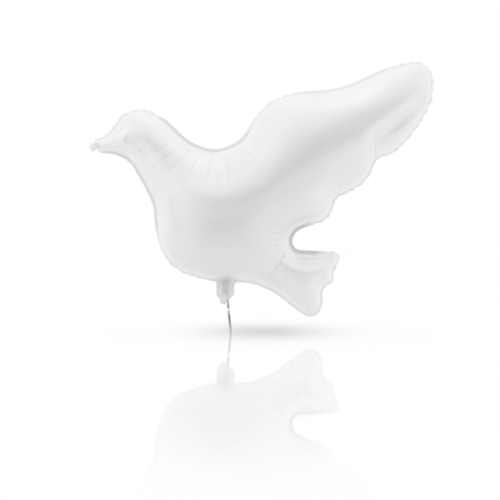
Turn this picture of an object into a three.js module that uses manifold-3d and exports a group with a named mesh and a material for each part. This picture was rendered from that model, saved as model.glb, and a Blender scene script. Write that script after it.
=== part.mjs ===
// A foil balloon in the shape of a flying dove. Two sheets of pearl-white film are welded together
// all round and inflated. A flat fill tab hangs below the belly, with the film valve showing in it,
// and a silver ribbon hangs from the back of the tab.
// Millimetres, +Z up, the beak towards -X, the front sheet towards -Y and the back sheet towards +Y.
// The origin is in the middle of the fill tab, where the ribbon is fastened.
import * as THREE from "three";
import { mergeVertices } from "three/addons/utils/BufferGeometryUtils.js";
import Module from "manifold-3d";

// The inflated bird
const LENGTH = 700; // from the bead on the beak to the wing tip
const FULLNESS = 0.68; // half depth over the root of the pressure field; 0.71 fills a tube out round
const SEAM_WIDTH = 6; // the flat weld outside the inflated film
const SEAM_THICKNESS = 1.6;

// The ruffles, where the seam curves outwards and has length to spare
const RUFFLE_PITCH = 17; // from one nip to the next
const RUFFLE_NIP = 1.8; // how far a nip pulls the edge in
const RUFFLE_SWAY = 2.2; // how far a scallop leans to the front or the back
const RUFFLE_REACH = 16; // the depth over which a ruffle dies out
const RUFFLE_PLEAT = 0.3; // the share of its depth that the film loses at a nip

// The fill tab
const TAB_WIDTH = 36.5;
const TAB_THICKNESS = 2.4;
const TAB_FILLET = 6; // where the tab's sides run out into the belly's seam
const TAB_SHOULDER = 9; // height of the sloping shoulders, half above and half below the origin
const SPOUT_WIDTH = 14.5; // the narrow mouth that the pump goes into
const SPOUT_LENGTH = 11; // below the shoulders
const SPOUT_OFFSET = -4; // from the tab's middle line

// The valve
const VALVE_WIDTH = 13;
const VALVE_FOOT = 4; // height of the valve's lower end above the origin
const VALVE_GAP = 0.3; // all round the valve, and under each face of the tab

// The ribbon
const RIBBON_WIDTH = 5;
const RIBBON_THICKNESS = 0.5;
const RIBBON_STEPS = 8;
const RIBBON_ROUTE = [
  [3.2, 1.75, 14],
  [4.2, 1.75, 3],
  [5, 1.75, -9],
  [6.4, 2.9, -27],
  [8.6, 2, -49],
  [11, 1, -73.5],
];

// How finely the film is divided, which follows the size of the bird
const SMOOTH_STEP = LENGTH / 70;
const FINE_STEP = RUFFLE_PITCH / 4;
const GRID_STEP = LENGTH / 42;
const RING_DEPTHS = [0, SEAM_WIDTH, SEAM_WIDTH + LENGTH / 350, SEAM_WIDTH + LENGTH / 75];
const ROUND_SHARE = 0.7; // rings stay within this share of the widest circle that fits at their place

// The outline of the seam, clockwise from under the beak as seen from the front, in thousandths of
// LENGTH. A slack stretch is ruffled, and a taut one runs smooth.
const OUTLINE = [
  { part: "bead on the beak", fine: true, points: [[-371, 424], [-386, 424], [-396, 437], [-388, 450], [-382, 454]] },
  { part: "brow", points: [[-374, 461], [-354, 469], [-333, 487], [-316, 509], [-302, 527]] },
  { part: "crown", slack: true, points: [[-285, 537], [-258, 543], [-228, 542], [-205, 532]] },
  {
    part: "nape and back",
    points: [[-179, 518], [-150, 494], [-118, 466], [-80, 444], [-42, 434], [-4, 438], [34, 456], [63, 482]],
  },
  { part: "shoulder", slack: true, points: [[82, 511], [107, 539], [139, 566], [177, 583]] },
  {
    part: "leading edge",
    points: [[218, 594], [276, 601], [328, 611], [381, 627], [433, 649], [480, 666]],
  },
  {
    part: "wing tip",
    slack: true,
    points: [[515, 675], [550, 682], [581, 673], [599, 647], [601, 609], [592, 566]],
  },
  { part: "long feathers", slack: true, points: [[570, 525], [544, 486], [515, 450], [492, 426], [463, 412]] },
  { part: "upper slot", fine: true, points: [[445, 401], [435, 388]] },
  { part: "middle feathers", slack: true, points: [[422, 362], [395, 331], [358, 306]] },
  { part: "lower slot", fine: true, points: [[330, 289], [320, 275]] },
  { part: "short feathers", slack: true, points: [[311, 251], [292, 227], [267, 216]] },
  {
    part: "notch between wing and tail",
    points: [[232, 203], [207, 187], [195, 162], [207, 140], [235, 136], [267, 134]],
  },
  { part: "tail's upper corner", slack: true, points: [[296, 130], [320, 131], [333, 117]] },
  {
    part: "tail's end",
    fine: true,
    points: [[326, 94], [316, 67], [315, 44], [296, 32], [285, 13], [285, -17], [271, -49], [245, -58]],
  },
  {
    part: "underside",
    points: [[218, -45], [183, -20], [145, 7], [101, 27], [54, 40], [8, 44], [-42, 49]],
  },
  { part: "breast", slack: true, points: [[-80, 59], [-121, 73], [-156, 99], [-179, 134], [-193, 173]] },
  {
    part: "throat",
    points: [[-203, 213], [-210, 255], [-227, 300], [-255, 352], [-287, 394], [-325, 416], [-358, 419]],
  },
];

// The finishes
const FOIL = { color: 0xe9eaec, roughness: 0.3, metalness: 0.35 };
const VALVE_FILM = { color: 0xa9adae, roughness: 0.45, metalness: 0.1 };
const SILVER = { color: 0x9a9b9e, roughness: 0.18, metalness: 1 };

const wasm = await Module();
wasm.setup();

/** The seam's outer edge as points in the plane of the seam, anticlockwise from the front. */
function sampleOutline() {
  const stretches = OUTLINE.flatMap((stretch) => stretch.points.map((point) => ({ ...stretch, point })));
  const controls = stretches.map(({ point: [x, z] }) => new THREE.Vector3(x, 0, z).multiplyScalar(LENGTH / 1000));
  const curve = new THREE.CatmullRomCurve3(controls, true, "centripetal");
  const samples = [];
  stretches.forEach(({ fine, slack }, i) => {
    const next = (i + 1) % controls.length;
    const step = fine || slack ? FINE_STEP : SMOOTH_STEP;
    const count = 2 * Math.max(1, Math.round(controls[i].distanceTo(controls[next]) / (2 * step)));
    for (let k = 0; k < count; k++) {
      const at = curve.getPoint((i + k / count) / controls.length);
      const share = k / count;
      const here = slack ? 1 : 0;
      const there = stretches[next].slack ? 1 : 0;
      samples.push({ x: at.x, z: at.z, slack: THREE.MathUtils.lerp(here, there, share) });
    }
  });
  return [samples[0], ...samples.slice(1).reverse()];
}

/** The unit normals of a closed outline, pointing inwards. */
function inwardNormals(outline) {
  return outline.map((point, i) => {
    const before = outline.at(i - 1);
    const after = outline[(i + 1) % outline.length];
    const along = Math.hypot(after.x - before.x, after.z - before.z);
    return { x: -(after.z - before.z) / along, z: (after.x - before.x) / along };
  });
}

/** The radius of the widest circle inside the outline that touches it at each point. */
function roomInside(outline, normals) {
  const radii = outline.map((point, i) => {
    let radius = LENGTH;
    for (const other of outline) {
      const dx = other.x - point.x;
      const dz = other.z - point.z;
      const ahead = dx * normals[i].x + dz * normals[i].z;
      if (ahead > 1e-6) radius = Math.min(radius, (dx * dx + dz * dz) / (2 * ahead));
    }
    return radius;
  });
  const near = (i) => [-2, -1, 0, 1, 2].map((k) => radii.at((i + k) % radii.length));
  return radii.map((_, i) => near(i).reduce((sum, radius) => sum + radius, 0) / 5);
}

/** Where the ruffles are at each point of the outline: a nip where fold is 0, a scallop between. */
function ruffleFolds(outline) {
  let turn = 0;
  return outline.map((point, i) => {
    const next = outline[(i + 1) % outline.length];
    const fold = Math.sin(turn + 0.6 * Math.sin(1.7 * turn));
    turn += (Math.PI * Math.hypot(next.x - point.x, next.z - point.z)) / RUFFLE_PITCH;
    return fold;
  });
}

/** One ring of points that runs inside the outline at a depth, with its share of the ruffles. */
function ringAt(depth, outline, normals, room, folds) {
  const fade = Math.exp(-depth / RUFFLE_REACH);
  return outline.map((point, i) => {
    const most = ROUND_SHARE * room[i];
    const nip = point.slack * (1 - Math.abs(folds[i]));
    const inwards = most * (1 - Math.exp(-depth / most)) + fade * RUFFLE_NIP * nip;
    return {
      x: point.x + normals[i].x * inwards,
      z: point.z + normals[i].z * inwards,
      sway: fade * RUFFLE_SWAY * point.slack * folds[i],
      puff: 1 - fade * RUFFLE_PLEAT * nip,
    };
  });
}

/** Twice the signed area of a triangle, positive where it runs anticlockwise. */
function area2(a, b, c) {
  return (b.x - a.x) * (c.z - a.z) - (c.x - a.x) * (b.z - a.z);
}

/** True if d lies inside the circle through the anticlockwise triangle abc. */
function inCircle(a, b, c, d) {
  const row = (p) => [p.x - d.x, p.z - d.z, (p.x - d.x) ** 2 + (p.z - d.z) ** 2];
  return new THREE.Matrix3().set(...row(a), ...row(b), ...row(c)).determinant() > 1e-6;
}

/** Turns each edge whose two triangles would be better the other way. True if it turned any. */
function turnEdges(triangles, points) {
  const sides = new Map();
  triangles.forEach((t, index) =>
    [0, 1, 2].forEach((k) => sides.set(`${t[k]} ${t[(k + 1) % 3]}`, { index, apex: t[(k + 2) % 3] })),
  );
  const touched = new Set();
  for (const [key, { index, apex: c }] of sides) {
    const [a, b] = key.split(" ").map(Number);
    const twin = sides.get(`${b} ${a}`);
    if (!twin || touched.has(index) || touched.has(twin.index)) continue;
    const d = twin.apex;
    const [pa, pb, pc, pd] = [a, b, c, d].map((i) => points[i]);
    if (area2(pc, pa, pd) <= 0 || area2(pd, pb, pc) <= 0 || !inCircle(pa, pb, pc, pd)) continue;
    triangles[index] = [c, a, d];
    triangles[twin.index] = [d, b, c];
    touched.add(index).add(twin.index);
  }
  return touched.size > 0;
}

/** True if the polygon holds the point. */
function holds(polygon, point) {
  let inside = false;
  polygon.forEach((a, i) => {
    const b = polygon[(i + 1) % polygon.length];
    const crosses = a.z > point.z !== b.z > point.z;
    if (crosses && point.x < a.x + ((point.z - a.z) * (b.x - a.x)) / (b.z - a.z)) inside = !inside;
  });
  return inside;
}

/** A triangular grid of points inside the polygon, clear of its own points. */
function gridInside(polygon) {
  const rowStep = (GRID_STEP * Math.sqrt(3)) / 2;
  const points = [];
  for (let row = Math.ceil(-LENGTH / rowStep); row * rowStep < LENGTH; row++) {
    for (let column = Math.ceil(-LENGTH / GRID_STEP); column * GRID_STEP < LENGTH; column++) {
      const point = { x: (column + (row % 2 ? 0.5 : 0)) * GRID_STEP, z: row * rowStep, sway: 0, puff: 1 };
      const clear = polygon.every((p) => Math.hypot(p.x - point.x, p.z - point.z) > 0.6 * GRID_STEP);
      if (clear && holds(polygon, point)) points.push(point);
    }
  }
  return points;
}

/** Triangles that fill a polygon, the first ringCount of the points, and join in the others. */
function fillPolygon(points, ringCount) {
  const contour = points.slice(0, ringCount).map((p) => new THREE.Vector2(p.x, p.z));
  const triangles = THREE.ShapeUtils.triangulateShape(contour, []);
  for (let p = ringCount; p < points.length; p++) {
    const index = triangles.findIndex((t) =>
      [0, 1, 2].every((k) => area2(points[t[k]], points[t[(k + 1) % 3]], points[p]) >= 0),
    );
    const [a, b, c] = triangles[index];
    triangles.splice(index, 1, [a, b, p], [b, c, p], [c, a, p]);
  }
  while (turnEdges(triangles, points));
  return triangles;
}

/** Joins a ring to the next one in, which has as many points or half as many. */
function stripBetween(outer, inner) {
  const triangles = [];
  const ratio = outer.length / inner.length;
  inner.forEach((here, i) => {
    const next = inner[(i + 1) % inner.length];
    const edge = [0, 1, 2].slice(0, ratio + 1).map((k) => outer[(ratio * i + k) % outer.length]);
    triangles.push([here, edge[0], edge[1]]);
    if (ratio === 2) triangles.push([here, edge[1], next], [next, edge[1], edge[2]]);
    else triangles.push([here, edge[1], next]);
  });
  return triangles;
}

/**
 * Solves the pressure field over the inflated area: 0 at the weld, and bulging as a soap film
 * does under pressure. Its root is close to the section of a film that can't stretch.
 */
function pressureField(points, triangles, welded) {
  const links = points.map(() => new Map());
  const load = points.map(() => 0);
  for (const t of triangles) {
    for (let k = 0; k < 3; k++) {
      const [i, j, apex] = [t[k], t[(k + 1) % 3], t[(k + 2) % 3]];
      const [p, q, r] = [points[i], points[j], points[apex]];
      const cosine = (p.x - r.x) * (q.x - r.x) + (p.z - r.z) * (q.z - r.z);
      const pull = cosine / (2 * area2(p, q, r));
      links[i].set(j, (links[i].get(j) ?? 0) + pull);
      links[j].set(i, (links[j].get(i) ?? 0) + pull);
      load[i] += (2 / 3) * area2(p, q, r);
    }
  }
  const stiffness = (u) =>
    u.map((ui, i) => (welded[i] ? 0 : [...links[i]].reduce((sum, [j, pull]) => sum + pull * (ui - u[j]), 0)));
  const dot = (u, v) => u.reduce((sum, ui, i) => sum + ui * v[i], 0);
  let field = points.map(() => 0);
  let rest = load.map((l, i) => (welded[i] ? 0 : l));
  let search = rest;
  const goal = 1e-12 * dot(rest, rest);
  while (dot(rest, rest) > goal) {
    const pushed = stiffness(search);
    const size = dot(rest, rest);
    const step = size / dot(search, pushed);
    field = field.map((ui, i) => ui + step * search[i]);
    rest = rest.map((ri, i) => ri - step * pushed[i]);
    const turn = dot(rest, rest) / size;
    search = rest.map((ri, i) => ri + turn * search[i]);
  }
  return field;
}

/** A closed solid from a geometry, with only its vertices' places kept. */
function solidFrom(geometry) {
  const bare = geometry.clone();
  bare.deleteAttribute("normal");
  bare.deleteAttribute("uv");
  const merged = mergeVertices(bare, 1e-4);
  return new wasm.Manifold(
    new wasm.Mesh({
      numProp: 3,
      vertProperties: merged.attributes.position.array,
      triVerts: new Uint32Array(merged.index.array),
    }),
  );
}

/** The faces of a solid as a geometry with flat shading. */
function geometryFrom(solid) {
  const mesh = solid.getMesh();
  const geometry = new THREE.BufferGeometry();
  geometry.setAttribute("position", new THREE.BufferAttribute(mesh.vertProperties, 3));
  geometry.setIndex(new THREE.BufferAttribute(mesh.triVerts, 1));
  geometry.computeVertexNormals();
  return geometry;
}

/** The welded and inflated film without its tab, as one closed geometry. */
function filmGeometry(outline) {
  const normals = inwardNormals(outline);
  const room = roomInside(outline, normals);
  const folds = ruffleFolds(outline);
  const rings = RING_DEPTHS.map((depth) => ringAt(depth, outline, normals, room, folds));
  const last = rings.pop().filter((_, i) => i % 2 === 0);
  const middle = [...last, ...gridInside(last)];
  const points = [...rings.flat(), ...middle];

  const numbers = (start, count) => Array.from({ length: count }, (_, i) => start + i);
  const starts = rings.map((_, i) => i * outline.length);
  const middleStart = rings.length * outline.length;
  const ringNumbers = [...starts.map((s) => numbers(s, outline.length)), numbers(middleStart, last.length)];
  const strips = ringNumbers.slice(1).map((inner, i) => stripBetween(ringNumbers[i], inner));
  const filled = fillPolygon(middle, last.length).map((t) => t.map((i) => i + middleStart));
  const sheet = [...strips.flat(), ...filled];

  const inflated = [...strips.slice(1).flat(), ...filled];
  const field = pressureField(points, inflated, points.map((_, i) => i < 2 * outline.length));
  const positions = [-1, 1].flatMap((side) =>
    points.flatMap((point, i) => {
      const depth = SEAM_THICKNESS / 2 + FULLNESS * point.puff * Math.sqrt(field[i]);
      return [point.x, side * depth + point.sway, point.z];
    }),
  );
  const back = (t) => t.map((i) => i + points.length).reverse();
  const edge = outline.flatMap((_, i) => {
    const next = (i + 1) % outline.length;
    return [[i, i + points.length, next], [next, i + points.length, next + points.length]];
  });
  const geometry = new THREE.BufferGeometry();
  geometry.setAttribute("position", new THREE.Float32BufferAttribute(positions, 3));
  geometry.setIndex([...sheet, ...sheet.map(back), ...edge].flat());
  return geometry;
}

/** The height of the belly's seam edge at a place across the tab. */
function bellyEdge(outline, x) {
  let height = Infinity;
  outline.forEach((a, i) => {
    const b = outline[(i + 1) % outline.length];
    if (a.x > x === b.x > x) return;
    height = Math.min(height, a.z + ((x - a.x) * (b.z - a.z)) / (b.x - a.x));
  });
  return height;
}

/** A flat shape in the plane of the seam as a plate about that plane. */
function plate(shape, thickness) {
  const geometry = new THREE.ExtrudeGeometry(shape, { depth: thickness, bevelEnabled: false, curveSegments: 8 });
  geometry.translate(0, 0, -thickness / 2);
  geometry.rotateX(Math.PI / 2);
  return geometry;
}

/** The fill tab, from inside the belly's seam down to the end of the spout. */
function tabGeometry(outline) {
  const side = TAB_WIDTH / 2;
  const flare = side + TAB_FILLET;
  const left = bellyEdge(outline, -flare);
  const right = bellyEdge(outline, flare);
  const top = Math.max(left, right) + SEAM_WIDTH;
  const spoutLeft = SPOUT_OFFSET - SPOUT_WIDTH / 2;
  const spoutRight = SPOUT_OFFSET + SPOUT_WIDTH / 2;
  const shoulder = TAB_SHOULDER / 2;
  const spoutRound = Math.min(SPOUT_WIDTH / 2, SPOUT_LENGTH);
  const spoutEnd = -shoulder - SPOUT_LENGTH;
  const shape = new THREE.Shape();
  shape.moveTo(-flare, top);
  shape.lineTo(-flare, left);
  shape.absarc(-flare, left - TAB_FILLET, TAB_FILLET, Math.PI / 2, 0, true);
  shape.lineTo(-side, shoulder);
  shape.quadraticCurveTo(-side, 0, spoutLeft, -shoulder);
  shape.absellipse(SPOUT_OFFSET, spoutEnd + spoutRound, SPOUT_WIDTH / 2, spoutRound, Math.PI, 2 * Math.PI, false);
  shape.lineTo(spoutRight, -shoulder);
  shape.quadraticCurveTo(side, 0, side, shoulder);
  shape.lineTo(side, right - TAB_FILLET);
  shape.absarc(flare, right - TAB_FILLET, TAB_FILLET, Math.PI, Math.PI / 2, true);
  shape.lineTo(flare, top);
  return plate(shape, TAB_THICKNESS);
}

/** An upright rectangle in the plane of the seam, as a shape. */
function rectangle(width, bottom, top) {
  const shape = new THREE.Shape();
  shape.moveTo(-width / 2, bottom);
  shape.lineTo(width / 2, bottom);
  shape.lineTo(width / 2, top);
  shape.lineTo(-width / 2, top);
  return shape;
}

/** The envelope: film, weld and fill tab in one, with the window that the valve shows in. */
function envelope(outline) {
  const valveTop = bellyEdge(outline, 0) + SEAM_WIDTH - VALVE_GAP;
  const window = rectangle(VALVE_WIDTH + 2 * VALVE_GAP, VALVE_FOOT - VALVE_GAP, valveTop);
  const film = solidFrom(filmGeometry(outline)).add(solidFrom(tabGeometry(outline)));
  const mesh = new THREE.Mesh(
    geometryFrom(film.subtract(solidFrom(plate(window, 2 * TAB_THICKNESS)))),
    new THREE.MeshStandardMaterial(FOIL),
  );
  mesh.name = "foil_envelope";
  return mesh;
}

/** The valve: a flat sleeve of film between the two sheets of the tab. */
function valve(outline) {
  const top = bellyEdge(outline, 0) + SEAM_WIDTH - 2 * VALVE_GAP;
  const sleeve = rectangle(VALVE_WIDTH, VALVE_FOOT, top);
  const mesh = new THREE.Mesh(
    plate(sleeve, TAB_THICKNESS - 2 * VALVE_GAP),
    new THREE.MeshStandardMaterial(VALVE_FILM),
  );
  mesh.name = "fill_valve";
  return mesh;
}

/** The ribbon: flat behind the tab, then hanging free to its cut end. */
function ribbon() {
  const route = new THREE.CatmullRomCurve3(RIBBON_ROUTE.map((point) => new THREE.Vector3(...point)));
  const section = new THREE.Shape();
  section.absellipse(0, 0, RIBBON_THICKNESS / 2, RIBBON_WIDTH / 2, 0, 2 * Math.PI, false);
  const mesh = new THREE.Mesh(
    new THREE.ExtrudeGeometry(section, { steps: RIBBON_STEPS, extrudePath: route, curveSegments: 5 }),
    new THREE.MeshStandardMaterial(SILVER),
  );
  mesh.name = "ribbon";
  return mesh;
}

const outline = sampleOutline();
const balloon = new THREE.Group();
balloon.name = "dove_foil_balloon";
balloon.add(envelope(outline), valve(outline), ribbon());

export default balloon;
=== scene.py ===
"""Dresses the dove foil balloon: inflated pearl film, welded edge, fill tab, valve and ribbon."""

import logging
import math
from dataclasses import dataclass, field
from enum import Enum
from typing import Sequence

import bmesh
import bpy
import numpy as np
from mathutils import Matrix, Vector
from mathutils.geometry import delaunay_2d_cdt


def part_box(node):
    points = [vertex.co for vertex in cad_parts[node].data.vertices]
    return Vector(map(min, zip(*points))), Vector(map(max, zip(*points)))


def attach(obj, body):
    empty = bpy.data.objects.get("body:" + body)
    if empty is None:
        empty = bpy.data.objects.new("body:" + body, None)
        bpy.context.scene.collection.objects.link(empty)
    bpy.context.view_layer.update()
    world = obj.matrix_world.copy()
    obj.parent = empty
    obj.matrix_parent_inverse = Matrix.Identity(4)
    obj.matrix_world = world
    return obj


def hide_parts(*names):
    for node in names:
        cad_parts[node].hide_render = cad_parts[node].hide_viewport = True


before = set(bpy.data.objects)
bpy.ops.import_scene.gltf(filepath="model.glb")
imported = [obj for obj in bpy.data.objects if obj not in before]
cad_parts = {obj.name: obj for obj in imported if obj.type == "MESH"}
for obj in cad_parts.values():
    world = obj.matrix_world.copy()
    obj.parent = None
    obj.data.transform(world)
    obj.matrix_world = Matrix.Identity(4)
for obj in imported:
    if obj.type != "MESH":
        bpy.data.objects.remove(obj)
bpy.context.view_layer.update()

LOG = logging.getLogger("dove_balloon")
MM = 0.001
BODY = "root"
OUTLINE_SPAN = 0.9985  # the envelope's width in x, as a share of the bird's length
Colour = tuple[float, float, float, float]
Place = tuple[float, float]


class Edge(Enum):
    """How the film's edge behaves along a stretch: how slack it is, and how flat its rim lies, which also
    sets how much painted shade the rim gets.
    """

    TAUT = (0.0, 1.0)
    LEVEL = (0.0, 0.62)
    FIRM = (0.0, 0.3)
    SLACK = (1.0, 0.0)


@dataclass(frozen=True)
class Stretch:
    """A stretch of the seam's outer edge, in thousandths of the bird's length."""

    name: str
    edge: Edge
    points: tuple[Place, ...]
    gathers: float = 0.12


OUTLINE = (
    Stretch("end of the beak", Edge.FIRM, (
        (-365, 421), (-372, 428), (-377, 441), (-381, 453), (-380, 459),
    ), 0.0),
    Stretch("brow", Edge.FIRM, ((-371, 462), (-354, 468), (-333, 487), (-316, 509), (-302, 527)), 0.0),
    Stretch("crown", Edge.SLACK, ((-285, 537), (-258, 543), (-228, 542), (-205, 532))),
    Stretch("nape and back", Edge.LEVEL, (
        (-179, 518), (-150, 494), (-118, 466), (-80, 444), (-42, 434), (-4, 438), (34, 456), (63, 482),
    )),
    Stretch("shoulder", Edge.SLACK, ((82, 511), (107, 539), (139, 566), (177, 583))),
    Stretch("leading edge", Edge.FIRM, (
        (218, 594), (276, 601), (328, 611), (381, 627), (433, 649), (480, 666),
    ), 0.15),
    Stretch("wing tip", Edge.SLACK, (
        (515, 675), (550, 682), (581, 673), (599, 647), (601, 609), (592, 566),
    )),
    Stretch("long feathers", Edge.SLACK, ((570, 525), (544, 486), (515, 450), (492, 426), (463, 412))),
    Stretch("upper slot", Edge.FIRM, ((445, 401), (435, 388))),
    Stretch("middle feathers", Edge.SLACK, ((422, 362), (395, 331), (358, 306))),
    Stretch("lower slot", Edge.FIRM, ((330, 289), (320, 275))),
    Stretch("short feathers", Edge.SLACK, ((311, 251), (292, 227), (267, 216))),
    Stretch("notch between wing and tail", Edge.TAUT, (
        (232, 203), (207, 187), (195, 162), (207, 140), (235, 136), (267, 134),
    )),
    Stretch("tail's upper corner", Edge.SLACK, ((296, 130), (320, 131), (333, 117))),
    Stretch("tail's end", Edge.FIRM, (
        (326, 94), (316, 67), (315, 44), (296, 32), (285, 13), (285, -17), (271, -49), (245, -58),
    )),
    Stretch("underside", Edge.FIRM, (
        (218, -45), (183, -20), (145, 7), (101, 27), (54, 40), (8, 44), (-42, 49),
    )),
    Stretch("breast", Edge.SLACK, ((-80, 59), (-121, 73), (-156, 99), (-179, 134), (-193, 173))),
    Stretch("throat", Edge.LEVEL, (
        (-203, 213), (-210, 255), (-227, 300), (-255, 352), (-287, 394), (-325, 416), (-352, 419),
    ), 0.0),
)


@dataclass(frozen=True)
class Crease:
    """A fine crease in the front film, from one place to another in thousandths of the length."""

    start: Place
    end: Place
    depth: float
    width: float = 1.0 * MM


def crease(x1: float, z1: float, x2: float, z2: float, depth: float = 0.55) -> Crease:
    """A crease between two places, with its depth in millimetres."""
    return Crease((x1, z1), (x2, z2), depth * MM)


CREASES = (
    crease(-278, 478, -290, 449),
    crease(-252, 466, -264, 437),
    crease(-264, 437, -255, 385),
    crease(-208, 466, -244, 424, 0.4),
    crease(-188, 456, -236, 398, 0.3),
    crease(-160, 446, -222, 402, 0.3),
    crease(-128, 434, -196, 392, 0.4),
    crease(-100, 431, -161, 364),
    crease(-71, 423, -118, 335),
    crease(-36, 420, -62, 312),
    crease(-19, 370, -19, 297),
    crease(2, 420, 14, 323),
    crease(43, 408, 72, 364),
    crease(57, 426, 95, 388),
    crease(75, 446, 113, 429),
    crease(-176, 251, -158, 233, 0.5),
    crease(-161, 146, -140, 120, 0.5),
    crease(-120, 85, -106, 102, 0.5),
    crease(436, 399, 430, 458, 0.8),
    crease(436, 399, 455, 456, 0.5),
    crease(325, 286, 311, 324, 0.8),
    crease(325, 286, 329, 324, 0.5),
    crease(148, 216, 174, 192, 0.6),
    crease(130, 192, 168, 181, 0.6),
    crease(136, 166, 174, 172, 0.6),
    crease(139, 149, 168, 163, 0.6),
    crease(180, 143, 110, 38, 0.7),
)


@dataclass(frozen=True)
class Fold:
    """A broad hollow in the front film, along a path in thousandths of the length."""

    path: tuple[Place, ...]
    depth: float
    width: float


FOLDS = (
    Fold(((428, 464), (552, 566)), 10 * MM, 14 * MM),
    Fold(((-300, 449), (-226, 382), (-167, 283), (-147, 201)), -5 * MM, 11 * MM),
    Fold(((153, 128), (188, 108), (223, 92), (258, 93), (293, 108)), 4 * MM, 8 * MM),
)


@dataclass(frozen=True)
class Pleats:
    """A fan of fine folds, in thousandths of the length but for its pitch and depth."""

    middle: Place
    apex: Place
    along: float
    across: float
    pitch: float
    depth: float


PLEATS = (
    Pleats((-202, 426), (-317, 330), 42, 30, 2.6 * MM, 0.06 * MM),
    Pleats((-126, 347), (324, 1237), 24, 26, 2.8 * MM, 0.05 * MM),
    Pleats((-21, 335), (29, 1335), 24, 44, 3.0 * MM, 0.035 * MM),
    Pleats((325, 588), (290, 783), 13, 62, 4.9 * MM, 0.16 * MM),
    Pleats((227, 93), (-13, 1063), 24, 22, 3.7 * MM, 0.11 * MM),
    Pleats((44, 60), (-456, 930), 9, 24, 4.0 * MM, 0.12 * MM),
)


def blurred(values: np.ndarray, spread: float) -> np.ndarray:
    """Smooths values that run round a closed loop.

    Args:
        values: One row for each place on the loop.
        spread: Standard deviation, in places.

    Returns:
        The smoothed values.
    """
    count = len(values)
    steps = np.minimum(np.arange(count), count - np.arange(count))
    weights = np.exp(-0.5 * (steps / spread) ** 2)
    spectrum = np.fft.rfft(weights / weights.sum())
    shaped = spectrum if values.ndim == 1 else spectrum[:, None]
    return np.fft.irfft(np.fft.rfft(values, axis=0) * shaped, count, axis=0)


def unit(vectors: np.ndarray) -> np.ndarray:
    """Vectors scaled to length 1."""
    return vectors / np.linalg.norm(vectors, axis=1)[:, None]


def cross2(a: np.ndarray, b: np.ndarray) -> np.ndarray:
    """The cross product of vectors in the seam plane."""
    return a[:, 0] * b[:, 1] - a[:, 1] * b[:, 0]


def resampled(loop: np.ndarray, count: int) -> np.ndarray:
    """A closed loop at evenly spaced places.

    Args:
        loop: Rows of x, z and any further values.
        count: How many places to give.

    Returns:
        The same columns at the new places.
    """
    closed = np.vstack([loop, loop[:1]])
    steps = np.linalg.norm(np.diff(closed[:, :2], axis=0), axis=1)
    along = np.concatenate([[0.0], np.cumsum(steps)])
    wanted = np.arange(count) * along[-1] / count
    return np.stack([np.interp(wanted, along, column) for column in closed.T], 1)


def refined(rows: np.ndarray, times: int) -> np.ndarray:
    """Divides the spans of a closed loop on a smooth curve.

    Args:
        rows: One row for each place on the loop.
        times: How many places to give for each one.

    Returns:
        The same columns at the new places.
    """
    before, after, beyond = np.roll(rows, 1, 0), np.roll(rows, -1, 0), np.roll(rows, -2, 0)
    shares = []
    for t in np.arange(times) / times:
        shares.append(0.5 * (
            2 * rows + t * (after - before) + t**2 * (2 * before - 5 * rows + 4 * after - beyond)
            + t**3 * (3 * rows - before - 3 * after + beyond)
        ))
    return np.stack(shares, 1).reshape(-1, *rows.shape[1:])


def curved(spans: Sequence[np.ndarray], axes: int, count: int) -> np.ndarray:
    """Divides the spans of a curve that passes its places without overshooting.

    Args:
        spans: The places before each span, at its start, at its end and after it.
        axes: How many of the first columns are coordinates.
        count: How many places to give for each span.

    Returns:
        The same columns at the new places.
    """
    before, here, after, beyond = spans
    last, own, following = (
        np.sqrt(np.linalg.norm((b - a)[:, :axes], axis=1))[:, None] for a, b in zip(spans, spans[1:])
    )
    leave = (here - before) / last - (after - before) / (last + own)
    leave = (leave + (after - here) / own) * own
    arrive = (after - here) / own - (beyond - here) / (own + following)
    arrive = (arrive + (beyond - after) / following) * own
    shares = []
    for t in np.arange(count) / count:
        shares.append(
            (2 * t**3 - 3 * t**2 + 1) * here + (t**3 - 2 * t**2 + t) * leave
            + (3 * t**2 - 2 * t**3) * after + (t**3 - t**2) * arrive
        )
    return np.stack(shares, 1).reshape(-1, here.shape[1])


def gap_to(path: np.ndarray, places: np.ndarray) -> np.ndarray:
    """The distance from each place to a path of straight lines.

    Args:
        path: Rows of x and z along the path.
        places: Rows of x and z.

    Returns:
        One distance for each place.
    """
    gap = np.full(len(places), np.inf)
    for start, way in zip(path, np.diff(path, axis=0)):
        share = np.clip((places - start) @ way / (way @ way), 0, 1)
        gap = np.minimum(gap, np.linalg.norm(places - start - share[:, None] * way, axis=1))
    return gap


def perimeter(loop: np.ndarray) -> float:
    """The length of a closed loop."""
    return float(np.linalg.norm(np.roll(loop, -1, 0)[:, :2] - loop[:, :2], axis=1).sum())


def inward(loop: np.ndarray) -> np.ndarray:
    """The unit normals of an anticlockwise loop, pointing inwards."""
    along = np.roll(loop, -1, 0)[:, :2] - np.roll(loop, 1, 0)[:, :2]
    return unit(np.stack([-along[:, 1], along[:, 0]], 1))


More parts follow.
